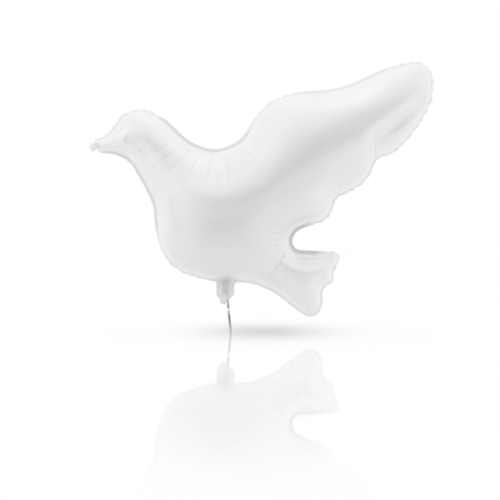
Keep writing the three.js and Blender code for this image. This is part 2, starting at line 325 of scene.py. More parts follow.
@dataclass
class Seam:
    """The welded edge of the balloon, as evenly spaced places along its weld line."""

    length: float
    width: float = 6 * MM
    step: float = 5.4 * MM
    fine_step: float = 2 * MM
    scallop_pitch: float = 20 * MM
    rim_turn: float = math.radians(50)
    round_share: float = 0.7
    belly_height: float = 0.045
    scallop_drift: float = 0.55
    drift_share: float = 0.29
    outer: np.ndarray = field(init=False)
    weld: np.ndarray = field(init=False)
    slack: np.ndarray = field(init=False)
    flatness: np.ndarray = field(init=False)
    gathers: np.ndarray = field(init=False)

    def __post_init__(self) -> None:
        """Works the weld line out from the outline, starting below the belly, behind the tab."""
        fine = self._edge()
        normals = unit(blurred(inward(fine), 1.5))
        seen = self.width * np.cos(self.rim_turn * (1 - fine[:, 3]))
        most = self.round_share * self._room(fine, normals)
        inwards = most * (1 - np.exp(-seen / most))
        weld = fine[:, :2] + normals * inwards[:, None]
        belly = np.argmin(((fine[:, :2] - (0.0, self.belly_height * self.length)) ** 2).sum(1))
        columns = np.roll(np.column_stack([weld, fine]), -belly, 0)
        places = resampled(columns, round(perimeter(weld) / self.step))
        self.weld = places[:, :2]
        self.outer = places[:, 2:4]
        self.slack, self.flatness, self.gathers = places[:, 4:7].T

    def phase(self, times: int = 1) -> np.ndarray:
        """How far the scallops have turned along the weld.

        Args:
            times: How many places to give for each place of the weld.

        Returns:
            One angle for each place, which grows by a half turn a scallop.
        """
        count = len(self.weld) * times
        length = perimeter(self.weld)
        scallops = round(length / self.scallop_pitch)
        turn = math.pi * scallops * np.arange(count) / count
        return turn + self.scallop_drift * np.sin(turn * 2 * round(self.drift_share * scallops) / scallops)

    def _edge(self) -> np.ndarray:
        """Draws the outer edge as a smooth closed curve through the outline's points.

        Returns:
            Rows of x, z, slackness, flatness and gathers, anticlockwise.
        """
        rows = [(*point, *one.edge.value, one.gathers) for one in OUTLINE for point in one.points]
        here = np.array(rows, float)
        here[:, :2] *= self.length / 1000
        dense = curved([np.roll(here, shift, 0) for shift in (1, 0, -1, -2)], 2, 24)[::-1]
        even = resampled(dense, round(perimeter(dense) / self.fine_step))
        even[:, :2] = blurred(even[:, :2], 1.2)
        even[:, 2:] = np.clip(blurred(even[:, 2:], 4), 0, 1)
        return even

    def _room(self, loop: np.ndarray, normals: np.ndarray) -> np.ndarray:
        """Finds the widest circle inside the loop that touches it at each place.

        Args:
            loop: The places on the loop.
            normals: The loop's unit normals, pointing inwards.

        Returns:
            The radii, smoothed along the loop.
        """
        away = loop[None, :, :2] - loop[:, None, :2]
        ahead = (away * normals[:, None]).sum(-1)
        with np.errstate(divide="ignore", invalid="ignore"):
            radii = np.where(ahead > 1e-9, (away**2).sum(-1) / (2 * ahead), self.length)
        least = np.minimum(radii.min(1), self.length / 6)
        least = np.min([np.roll(least, k) for k in range(-4, 5)], axis=0)
        return blurred(least, 2.5)


class PlaneMesh:
    """A triangle mesh in the seam plane that solves for smooth fields."""

    def __init__(self, points: np.ndarray, triangles: np.ndarray) -> None:
        """Keeps the mesh and works out how its points pull on each other.

        Args:
            points: Rows of x and z.
            triangles: Rows of three point numbers.
        """
        self.points = points
        self.triangles = triangles
        self.load = np.zeros(len(points))
        links = []
        for k in range(3):
            i, j, apex = (triangles[:, (k + m) % 3] for m in range(3))
            to_i, to_j = points[i] - points[apex], points[j] - points[apex]
            twice_area = np.abs(cross2(to_i, to_j))
            pull = (to_i * to_j).sum(1) / twice_area / 2
            links += [(i, j, pull), (j, i, pull)]
            self.load += np.bincount(i, twice_area / 6, len(points))
        self.here, self.there, self.pull = (np.concatenate(part) for part in zip(*links))
        self.total = np.bincount(self.here, self.pull, len(points))

    def _stiffness(self, values: np.ndarray) -> np.ndarray:
        """The pull of its neighbours on each point."""
        drawn = np.bincount(self.here, self.pull * values[self.there], len(values))
        return self.total * values - drawn

    def evened(self, values: np.ndarray, rounds: int) -> np.ndarray:
        """Draws values towards those of their neighbours.

        Args:
            values: One row for each point.
            rounds: How many times to do it.

        Returns:
            The evened rows.
        """
        shares = np.bincount(self.here, minlength=len(values))[:, None]
        for _ in range(rounds):
            drawn = [np.bincount(self.here, column[self.there], len(values)) for column in values.T]
            values = 0.5 * values + 0.5 * np.stack(drawn, 1) / shares
        return values

    def solve(self, load: np.ndarray, held: np.ndarray, values: np.ndarray) -> np.ndarray:
        """Finds the field that balances a load, by conjugate gradients.

        Args:
            load: The load on each point.
            held: True where the field keeps the value given.
            values: The values kept.

        Returns:
            The field at each point.
        """
        result = np.where(held, values, 0.0)
        rest = np.where(held, 0.0, load - self._stiffness(result))
        scaled = rest / self.total
        search = scaled.copy()
        size = rest @ scaled
        goal = 1e-18 * max(size, 1e-30)
        while size > goal:
            pushed = np.where(held, 0.0, self._stiffness(search))
            step = size / (search @ pushed)
            result += step * search
            rest -= step * pushed
            scaled = rest / self.total
            size, before = rest @ scaled, size
            search = scaled + size / before * search
        return result


def triangulated(loop: np.ndarray, step: float, clearance: float = 0.72) -> tuple[np.ndarray, np.ndarray]:
    """Meshes the inside of a closed loop with an even triangular grid.

    Args:
        loop: The places on the loop, anticlockwise.
        step: The spacing of the grid.
        clearance: How far the grid keeps from the loop, as a share of the step.

    Returns:
        The places, with those of the loop first, and the triangles, all anticlockwise.
    """
    low, high = loop.min(0), loop.max(0)
    rows = np.arange(low[1], high[1], step * math.sqrt(3) / 2)
    columns = np.arange(low[0], high[0], step)
    grid = np.array([(x + (step / 2) * (r % 2), z) for r, z in enumerate(rows) for x in columns])
    inside = np.zeros(len(grid), bool)
    for a, b in zip(loop, np.roll(loop, -1, 0)):
        crosses = (a[1] > grid[:, 1]) != (b[1] > grid[:, 1])
        reach = (grid[:, 1] - a[1]) * (b[0] - a[0]) / ((b[1] - a[1]) or 1.0)
        inside ^= crosses & (grid[:, 0] < a[0] + reach)
    grid = grid[inside]
    clear = np.ones(len(grid), bool)
    for place in loop:
        clear &= ((grid - place) ** 2).sum(1) > (clearance * step) ** 2
    places = np.vstack([loop, grid[clear]])
    edges = [(i, (i + 1) % len(loop)) for i in range(len(loop))]
    found = delaunay_2d_cdt([Vector(place) for place in places], edges, [], 1, 1e-7)
    number = np.array([origin[0] for origin in found[3]])
    triangles = number[np.array(found[2])]
    a, b, c = (places[triangles[:, k]] for k in range(3))
    turned = cross2(b - a, c - a) < 0
    triangles[turned] = triangles[turned][:, ::-1]
    return places, triangles


def two_sided(triangles: np.ndarray, shared: int, total: int) -> np.ndarray:
    """The faces of two sheets that share their edge, the back one turned to face backwards.

    Args:
        triangles: The triangles of one sheet, anticlockwise seen from the front.
        shared: How many places, the first ones, both sheets share.
        total: How many places one sheet has.

    Returns:
        The triangles of both sheets.
    """
    back = np.where(triangles < shared, triangles, triangles + total - shared)
    return np.vstack([triangles, back[:, ::-1]])


def new_object(
    name: str, places: np.ndarray, faces: Sequence | None = None, loop: bool | None = None
) -> bpy.types.Object:
    """Makes an object from places and either faces or a line through them.

    Args:
        name: The object's name.
        places: Rows of x, y and z in metres.
        faces: Rows of point numbers, or None.
        loop: True for a closed line, False for an open one, or None.

    Returns:
        The object, linked to the scene.
    """
    mesh = bpy.data.meshes.new(name)
    edges = []
    if loop is not None:
        count = len(places)
        edges = [(i, (i + 1) % count) for i in range(count if loop else count - 1)]
    listed = faces.tolist() if isinstance(faces, np.ndarray) else faces or []
    mesh.from_pydata(np.asarray(places).tolist(), edges, listed)
    made = bpy.data.objects.new(name, mesh)
    bpy.context.scene.collection.objects.link(made)
    return made


def give(target: bpy.types.Object, name: str, values: np.ndarray) -> None:
    """Stores a number or a vector for each point of an object's mesh.

    Args:
        target: The object.
        name: The attribute's name.
        values: One number or one row of three for each point.
    """
    kind, key = ("FLOAT_VECTOR", "vector") if np.ndim(values) == 2 else ("FLOAT", "value")
    layer = target.data.attributes.new(name, kind, "POINT")
    layer.data.foreach_set(key, np.asarray(values, np.float32).ravel())


class Value:
    """A socket that takes part in arithmetic, each operation as one Math node."""

    def __init__(self, graph: "Graph", socket: bpy.types.NodeSocket) -> None:
        """Wraps a socket of a node tree."""
        self.graph = graph
        self.socket = socket

    def math(self, operation: str, *others: "Value | float") -> "Value":
        """One Math node on this value and others."""
        fed = dict(enumerate((self, *others)))
        return self.graph.value("ShaderNodeMath", {"operation": operation}, fed)

    def __add__(self, other: "Value | float") -> "Value":
        """Sum."""
        return self.math("ADD", other)

    def __sub__(self, other: "Value | float") -> "Value":
        """Difference."""
        return self.math("SUBTRACT", other)

    def __rsub__(self, other: float) -> "Value":
        """Difference, with a number first."""
        return self.graph.value("ShaderNodeMath", {"operation": "SUBTRACT"}, {0: other, 1: self})

    def __mul__(self, other: "Value | float") -> "Value":
        """Product."""
        return self.math("MULTIPLY", other)

    def __truediv__(self, other: "Value | float") -> "Value":
        """Quotient."""
        return self.math("DIVIDE", other)

    def __rtruediv__(self, other: float) -> "Value":
        """Quotient, with a number first."""
        return self.graph.value("ShaderNodeMath", {"operation": "DIVIDE"}, {0: other, 1: self})

    def __neg__(self) -> "Value":
        """The value with its sign turned."""
        return self.math("MULTIPLY", -1.0)

    __radd__ = __add__
    __rmul__ = __mul__

    def bell(self, width: "Value | float") -> "Value":
        """A smooth hump, 1 where the value is 0 and small beyond the width."""
        share = self / width
        return (-(share * share)).math("EXPONENT")

    def limited(self) -> "Value":
        """The value kept between 0 and 1."""
        return self.math("MAXIMUM", 0.0).math("MINIMUM", 1.0)


class Graph:
    """Adds nodes to a node tree."""

    def __init__(self, tree: bpy.types.NodeTree) -> None:
        """Takes the tree to add to."""
        self.tree = tree

    def node(self, kind: str, settings: dict | None = None, inputs: dict | None = None) -> bpy.types.Node:
        """Adds one node.

        Args:
            kind: The node's type.
            settings: Its own settings, and "stops" for a colour ramp.
            inputs: Numbers, colours, sockets or values by the input's name or number.

        Returns:
            The node.
        """
        made = self.tree.nodes.new(kind)
        for name, setting in (settings or {}).items():
            if name == "stops":
                self._set_stops(made.color_ramp, setting)
            else:
                setattr(made, name, setting)
        for key, given in (inputs or {}).items():
            self.feed(made.inputs[key], given)
        return made

    def value(
        self, kind: str, settings: dict | None = None, inputs: dict | None = None, output: str | int = 0
    ) -> Value:
        """Adds one node and gives one of its outputs as a value."""
        return Value(self, self.node(kind, settings, inputs).outputs[output])

    def parts(self, vector: bpy.types.NodeSocket) -> list[Value]:
        """The x, y and z of a vector."""
        return [Value(self, part) for part in self.node("ShaderNodeSeparateXYZ", None, {0: vector}).outputs]

    def eased(self, value: Value, start: float, end: float, low: float, high: float) -> Value:
        """Goes smoothly from one number to another while a value goes from a start to an end.

        Args:
            value: The value to follow.
            start: Where it leaves the first number.
            end: Where it reaches the second.
            low: The first number.
            high: The second number.

        Returns:
            The eased value.
        """
        limits = {"Value": value, "From Min": start, "From Max": end, "To Min": low, "To Max": high}
        return self.value("ShaderNodeMapRange", {"interpolation_type": "SMOOTHSTEP"}, limits)

    def feed(self, socket: bpy.types.NodeSocket, given: object) -> None:
        """Links a socket, or sets it to a constant.

        Args:
            socket: The input to feed.
            given: A value, a socket, a number, a colour or a text.
        """
        source = given.socket if isinstance(given, Value) else given
        if isinstance(source, bpy.types.NodeSocket):
            self.tree.links.new(source, socket)
        else:
            socket.default_value = source

    @staticmethod
    def _set_stops(ramp: bpy.types.ColorRamp, stops: Sequence[tuple[float, Colour]]) -> None:
        """Sets a colour ramp's stops.

        Args:
            ramp: The ramp.
            stops: The place and the colour of each stop.
        """
        while len(ramp.elements) < len(stops):
            ramp.elements.new(0.5)
        for element, (place, colour) in zip(ramp.elements, stops):
            element.position = place
            element.color = colour


class Growth(Graph):
    """A Geometry Nodes tree that turns a guide mesh into a finished piece."""

    def __init__(self, name: str) -> None:
        """Starts a tree with one geometry in and one out.

        Args:
            name: The tree's name.
        """
        super().__init__(bpy.data.node_groups.new(name, "GeometryNodeTree"))
        self._settings: dict[str, object] = {}
        self.tree.interface.new_socket("Guide", in_out="INPUT", socket_type="NodeSocketGeometry")
        self.tree.interface.new_socket("Piece", in_out="OUTPUT", socket_type="NodeSocketGeometry")
        self._given = self.node("NodeGroupInput")
        self.guide = self._given.outputs["Guide"]
        self.place = self.node("GeometryNodeInputPosition").outputs[0]

    def size(self, name: str, value: object, kind: str = "NodeSocketFloat") -> Value:
        """Adds a named input and keeps the value that it is given.

        Args:
            name: The input's name.
            value: What the modifier sets it to.
            kind: The type of its socket.

        Returns:
            The input.
        """
        socket = self.tree.interface.new_socket(name, in_out="INPUT", socket_type=kind)
        self._settings[socket.identifier] = value
        return Value(self, self._given.outputs[name])

    def stored(self, name: str, vector: bool = False) -> Value:
        """A named attribute of the guide."""
        kind = "FLOAT_VECTOR" if vector else "FLOAT"
        return self.value("GeometryNodeInputNamedAttribute", {"data_type": kind}, {"Name": name})

    def keep(self, geometry: bpy.types.NodeSocket, name: str, value: Value) -> bpy.types.NodeSocket:
        """Stores a number on the points of a geometry.

        Args:
            geometry: The geometry.
            name: The attribute's name.
            value: The number.

        Returns:
            The geometry with the attribute.
        """
        settings = {"data_type": "FLOAT", "domain": "POINT"}
        inputs = {0: geometry, "Name": name, "Value": value}
        return self.node("GeometryNodeStoreNamedAttribute", settings, inputs).outputs[0]

    def track(self, normal: str) -> bpy.types.NodeSocket:
        """Makes the guide's line a curve to sweep along, which keeps its length as "along".

        Args:
            normal: The attribute that holds the curve's normals.

        Returns:
            The curve.
        """
        curve = self.node("GeometryNodeMeshToCurve", None, {0: self.guide})
        inputs = {0: curve.outputs[0], "Normal": self.stored(normal, True)}
        turned = self.node("GeometryNodeSetCurveNormal", {"mode": "FREE"}, inputs)
        length = self.value("GeometryNodeSplineParameter", None, None, "Length")
        return self.keep(turned.outputs[0], "along", length)

    def section(self, width: Value, height: Value, cuts: int) -> bpy.types.NodeSocket:
        """Makes a rectangular profile.

        Args:
            width: Its size in x.
            height: Its size in y.
            cuts: How many places divide each side.

        Returns:
            The profile's curve.
        """
        sizes = {"Width": width, "Height": height}
        profile = self.node("GeometryNodeCurvePrimitiveQuadrilateral", None, sizes)
        return self.node("GeometryNodeSubdivideCurve", None, {0: profile.outputs[0], "Cuts": cuts}).outputs[0]

    def end(self, geometry: bpy.types.NodeSocket, finish: bpy.types.Material) -> None:
        """Ends the tree in real geometry with its material.

        Args:
            geometry: The geometry to give out.
            finish: Its material.
        """
        real = self.node("GeometryNodeRealizeInstances", None, {0: geometry})
        smooth = self.node("GeometryNodeSetShadeSmooth", None, {0: real.outputs[0]})
        dressed = self.node("GeometryNodeSetMaterial", None, {0: smooth.outputs[0], "Material": finish})
        self.node("NodeGroupOutput", None, {0: dressed.outputs[0]})

    def grow(self, guide: bpy.types.Object, name: str) -> bpy.types.Object:
        """Runs the tree on a guide and keeps the result as a plain mesh.

        Args:
            guide: The object that holds the guide mesh, which is removed.
            name: The finished piece's name.

        Returns:
            The finished piece.
        """
        modifier = guide.modifiers.new(name, "NODES")
        modifier.node_group = self.tree
        for identifier, value in self._settings.items():
            modifier[identifier] = value
        return applied(guide, name)


def applied(piece: bpy.types.Object, name: str) -> bpy.types.Object:
    """Turns an object and its modifiers into a plain mesh object.

    Args:
        piece: The object, which is removed.
        name: The new object's name.

    Returns:
        The new object, without modifiers.
    """
    depsgraph = bpy.context.evaluated_depsgraph_get()
    evaluated = piece.evaluated_get(depsgraph)
    mesh = bpy.data.meshes.new_from_object(evaluated, preserve_all_data_layers=True, depsgraph=depsgraph)
    mesh.name = name
    piece.modifiers.clear()
    bpy.data.objects.remove(piece)
    made = bpy.data.objects.new(name, mesh)
    bpy.context.scene.collection.objects.link(made)
    return made


class Surface(Graph):
    """The node tree of one material."""

    def __init__(self, name: str) -> None:
        """Starts a material with a bare principled shader.

        Args:
            name: The material's name.
        """
        self.material = bpy.data.materials.new(name)
        self.material.use_nodes = True
        super().__init__(self.material.node_tree)
        self.shader = self.tree.nodes["Principled BSDF"]
        self.place = self.node("ShaderNodeTexCoord").outputs["Object"]

    def noise(self, scale: float, detail: float = 2.0, place: bpy.types.NodeSocket | None = None) -> Value:
        """A cloudy value from 0 to 1."""
        inputs = {"Vector": place or self.place, "Scale": scale, "Detail": detail}
        return self.value("ShaderNodeTexNoise", None, inputs)

    def blend(self, share: Value, first: object, second: object) -> Value:
        """A mix of two colours."""
        settings = {"data_type": "RGBA"}
        return self.value("ShaderNodeMix", settings, {0: share, 6: first, 7: second}, output=2)

    def kept(self, name: str) -> Value:
        """A number stored on the piece's points."""
        return self.value("ShaderNodeAttribute", {"attribute_name": name}, None, "Fac")

    def bump(self, height: Value, distance: float, strength: float = 1.0) -> Value:
        """A surface normal from a height."""
        inputs = {"Height": height, "Distance": distance, "Strength": strength}
        return self.value("ShaderNodeBump", None, inputs, "Normal")

    def dress(self, **inputs: object) -> bpy.types.Material:
        """Feeds the shader.

        Args:
            inputs: What each input gets, by its name with underscores for spaces.

        Returns:
            The material.
        """
        for name, given in inputs.items():
            self.feed(self.shader.inputs[name.replace("_", " ")], given)
        return self.material


def rgb(red: float, green: float, blue: float) -> Colour:
    """A colour with full opacity."""
    return (red, green, blue, 1.0)


def face_outwards(piece: bpy.types.Object, merge: float = 1e-7) -> None:
    """Merges doubles and turns a closed mesh's faces outwards.

    Args:
        piece: The object.
        merge: How close doubles are.
    """
    work = bmesh.new()
    work.from_mesh(piece.data)
    bmesh.ops.remove_doubles(work, verts=work.verts, dist=merge)
    bmesh.ops.recalc_face_normals(work, faces=work.faces)
    work.to_mesh(piece.data)
    work.free()
    piece.data.update()


def surface(piece: bpy.types.Object, finish: bpy.types.Material) -> None:
    """Turns a closed piece's faces outwards, shades it smooth and gives it its finish.

    Args:
        piece: The object.
        finish: Its material.
    """
    face_outwards(piece)
    piece.data.polygons.foreach_set("use_smooth", [True] * len(piece.data.polygons))
    piece.data.materials.append(finish)


@dataclass(frozen=True)
class PearlFoil:
    """White pearl film: a soft metallic gloss with a faint tint, gathered along the weld."""

    light: Colour = rgb(0.925, 0.925, 0.93)
    cool: Colour = rgb(0.87, 0.885, 0.895)
    warm: Colour = rgb(0.89, 0.88, 0.90)
    crease_shade_colour: Colour = rgb(0.45, 0.46, 0.47)
    crease_shade: float = 0.5
    gather_pitch: float = 6.4 * MM
    gather_reach: float = 11 * MM
    gather_depth: float = 0.34 * MM
    gather_wander: float = 1.3
    slackness: float = 0.25 * MM
    weld_glow_reach: float = 2.5 * MM
    painted_weld_glow: float = 0.06
    metal: float = 0.45
    roughness: float = 0.31
    roughness_spread: float = 0.08

    def material(self, length: float) -> bpy.types.Material:
        """Builds the film's material, with its gathers and pleats, painted shade along its creases and a
        painted glow next to the weld.

        Args:
            length: The bird's length.

        Returns:
            The material.
        """
        film = Surface("pearl_foil")
        tint = film.blend((film.noise(4.5, 1.0) * 2.4 - 0.7).limited(), self.cool, self.warm)
        colour = film.blend((film.noise(9.0, 2.0) * 1.8 - 0.3).limited(), tint, self.light)
        # Painted shade: the base colour darkens along the creases, the more the deeper each crease.
        colour = film.blend(film.kept("crease") * self.crease_shade, colour, self.crease_shade_colour)
        depth = film.kept("depth")
        station = film.parts(film.node("ShaderNodeUVMap", {"uv_map": "weld"}).outputs[0])[0]
        wander = film.noise(60.0, 1.0) * self.gather_wander
        wave = (station / self.gather_pitch + wander) * (2 * math.pi)
        near = depth.bell(self.gather_reach) * film.kept("gathers")
        height = wave.math("SINE") * near * self.gather_depth + film.noise(38.0, 2.0) * self.slackness
        for patch in PLEATS:
            height = height + self._pleats(film, patch, length / 1000)
        return film.dress(
            Base_Color=colour,
            Metallic=self.metal,
            Roughness=self.roughness + film.noise(160.0, 2.0) * self.roughness_spread,
            # Painted glow: the film gives off light close to the weld, to lighten the dark line where it
            # meets the rim.
            Emission_Color=depth.bell(self.weld_glow_reach) * self.painted_weld_glow,
            Emission_Strength=1.0,
            Normal=film.bump(height / MM, MM),
        )

    @staticmethod
    def _pleats(film: Surface, patch: Pleats, scale: float) -> Value:
        """Works out one fan of fine folds.

        Args:
            film: The material's tree.
            patch: The fan.
            scale: A thousandth of the bird's length.

        Returns:
            The height of the folds.
        """
        middle, apex = (np.array(place) * scale for place in (patch.middle, patch.apex))
        away = middle - apex
        radius = float(np.linalg.norm(away))
        x, _, z = film.parts(film.place)
        x, z = x - float(apex[0]), z - float(apex[1])
        along = (x * x + z * z).math("SQRT") - radius
        ahead = (x * float(away[0]) + z * float(away[1])) / radius
        aside = (z * float(away[0]) - x * float(away[1])) / radius
        across = aside.math("ARCTAN2", ahead) * radius
        bend = film.noise(25.0, 1.0) * (1.5 * patch.pitch)
        wave = ((across + bend) * (2 * math.pi / patch.pitch)).math("SINE")
        return wave * along.bell(patch.along * scale) * across.bell(patch.across * scale) * patch.depth


@dataclass(frozen=True)
class WeldedFilm:
    """The two plies of film welded together, with the fine ribbing of the welding tool."""

    colour: Colour = rgb(0.95, 0.95, 0.95)
    flat_shade_colour: Colour = rgb(0.82, 0.825, 0.83)
    rib_pitch: float = 1.1 * MM
    rib_depth: float = 0.05 * MM
    line_depth: float = 0.03 * MM
    cockle: float = 0.5 * MM
    painted_weld_glow: float = 0.06
    weld_glow_share: float = 0.5
    flat_metal: float = 0.3
    roughness: float = 0.38
    roughness_spread: float = 0.1

    def material(self) -> bpy.types.Material:
        """Builds the weld's material, with painted shade that turns it greyer where the weld lies flat,
        glossier there too, and a painted glow where the weld turns back.

        Returns:
            The material.
        """
        film = Surface("welded_film")
        along, across, flatness = (film.kept(name) for name in ("along", "across", "flatness"))
        ribs = (along * (2 * math.pi / self.rib_pitch)).math("SINE") * self.rib_depth
        lines = (across * (6 * math.pi)).math("SINE") * self.line_depth
        cockle = film.noise(110.0, 2.0) * self.cockle
        # Painted shade: the base colour turns grey where the weld lies flat; a painted glow lightens the rim
        # next to the film where it turns back.
        flatness = flatness * flatness
        return film.dress(
            Base_Color=film.blend(flatness, self.colour, self.flat_shade_colour),
            Metallic=flatness * self.flat_metal,
            Roughness=self.roughness + film.noise(240.0, 2.0) * self.roughness_spread,
            Emission_Color=across.bell(self.weld_glow_share) * self.painted_weld_glow * (1 - flatness),
            Emission_Strength=1.0,
            Normal=film.bump((ribs + lines + cockle) / MM, MM),
        )


@dataclass(frozen=True)
class TabFilm:
    """The two loose plies of the fill tab, thin enough for the valve to show through."""

    colour: Colour = rgb(0.95, 0.95, 0.95)
    cloudy: Colour = rgb(0.90, 0.905, 0.91)
    opacity: float = 0.62
    opacity_spread: float = 0.1
    opaque_aside: float = 9 * MM
    opaque_above: float = 20 * MM
    fade_aside: float = 4 * MM
    fade_above: float = 7 * MM
    ripple: float = 0.5 * MM
    grain: float = 0.02 * MM
    metal: float = 0.05
    roughness: float = 0.3
    roughness_spread: float = 0.1

    def material(self) -> bpy.types.Material:
        """Builds the tab's material, which is opaque where the tab widens into the belly's seam.

        Returns:
            The material.
        """
        film = Surface("tab_film")
        ripple = film.noise(140.0, 3.0) * self.ripple
        grain = film.noise(1400.0, 2.0) * self.grain
        x, _, z = film.parts(film.place)
        aside = ((x.math("ABSOLUTE") - self.opaque_aside) / self.fade_aside).limited()
        above = ((z - self.opaque_above) / self.fade_above).limited()
        opacity = self.opacity + film.noise(90.0, 1.0) * self.opacity_spread
        return film.dress(
            Base_Color=film.blend(film.noise(80.0, 2.0), self.colour, self.cloudy),
            Metallic=self.metal,
            Roughness=self.roughness + film.noise(300.0, 2.0) * self.roughness_spread,
            Alpha=opacity + (1 - opacity) * aside * above,
            Normal=film.bump((ripple + grain) / MM, MM),
        )


@dataclass(frozen=True)
class ValveFilm:
    """The grey film of the flat valve."""

    colour: Colour = rgb(0.68, 0.70, 0.70)
    cloudy: Colour = rgb(0.76, 0.78, 0.78)
    bar_rate: float = 1400.0
    bar_depth: float = 0.02 * MM
    haze_depth: float = 0.2 * MM
    roughness: float = 0.45
    roughness_spread: float = 0.15

    def material(self) -> bpy.types.Material:
        """Builds the valve's material.

        Returns:
            The material.
        """
        film = Surface("valve_film")
        bars = (film.parts(film.place)[2] * self.bar_rate).math("SINE")
        haze = film.noise(150.0, 3.0)
        return film.dress(
            Base_Color=film.blend(haze, self.colour, self.cloudy),
            Roughness=self.roughness + haze * self.roughness_spread,
            Normal=film.bump(bars * (self.bar_depth / MM) + haze * (self.haze_depth / MM), MM),
        )


@dataclass(frozen=True)
class SilverRibbon:
    """Bright metallised ribbon, brushed along its length, with painted highlights and painted shade along its
    length where it waves.
    """

    colour: Colour = rgb(0.54, 0.55, 0.555)
    length: float = 88 * MM
    # Painted highlights and painted shade along the ribbon's length, in place of the light it catches where
    # it waves.
    stops: tuple[tuple[float, Colour], ...] = (
        (0.28, rgb(0.72, 0.73, 0.73)), (0.40, rgb(0.42, 0.43, 0.43)), (0.46, rgb(0.95, 0.95, 0.95)),
        (0.53, rgb(0.75, 0.76, 0.76)), (0.62, rgb(0.40, 0.41, 0.41)), (0.73, rgb(0.52, 0.53, 0.53)),
        (0.90, rgb(0.80, 0.81, 0.81)),
    )
    line_rate: float = 90.0
    line_wander: float = 2.0
    line_shade: float = 0.15
    line_depth: float = 0.01 * MM
    blotch_rate: float = 400.0
    blotch_wander: float = 4.0
    blotch_depth: float = 0.05 * MM
    metal: float = 0.9
    roughness: float = 0.22
    roughness_spread: float = 0.12

    def material(self) -> bpy.types.Material:
        """Builds the ribbon's material.

        Returns:
            The material.
        """
        film = Surface("silver_ribbon")
        along, across = film.kept("along"), film.kept("across")
        lines = (across * self.line_rate + film.noise(300.0, 2.0) * self.line_wander).math("SINE")
        blotch = (along * self.blotch_rate + film.noise(90.0, 1.0) * self.blotch_wander).math("SINE")
        painted_glints = film.node("ShaderNodeValToRGB", {"stops": self.stops}, {0: along / self.length})
        colour = film.blend(lines * self.line_shade + self.line_shade, painted_glints.outputs[0], self.colour)
        return film.dress(
            Base_Color=colour,
            Metallic=self.metal,
            Roughness=self.roughness + (blotch * 0.5 + 0.5) * self.roughness_spread,
            Normal=film.bump(lines * (self.line_depth / MM) + blotch * (self.blotch_depth / MM), MM),
        )


@dataclass(frozen=True)
class Softbox:
    """A square soft light, aimed at the bird."""

    name: str
    place: tuple[float, float, float]
    size: float
    power: float
    aim: tuple[float, float, float] = (0.07, 0.0, 0.22)

    def hang(self) -> None:
        """Adds the light to the scene."""
        data = bpy.data.lights.new(self.name, "AREA")
        data.energy = self.power
        data.size = self.size
        lamp = bpy.data.objects.new(self.name, data)
        lamp.location = self.place
        lamp.rotation_mode = "QUATERNION"
        lamp.rotation_quaternion = (Vector(self.aim) - lamp.location).to_track_quat("-Z", "Y")
        bpy.context.scene.collection.objects.link(lamp)


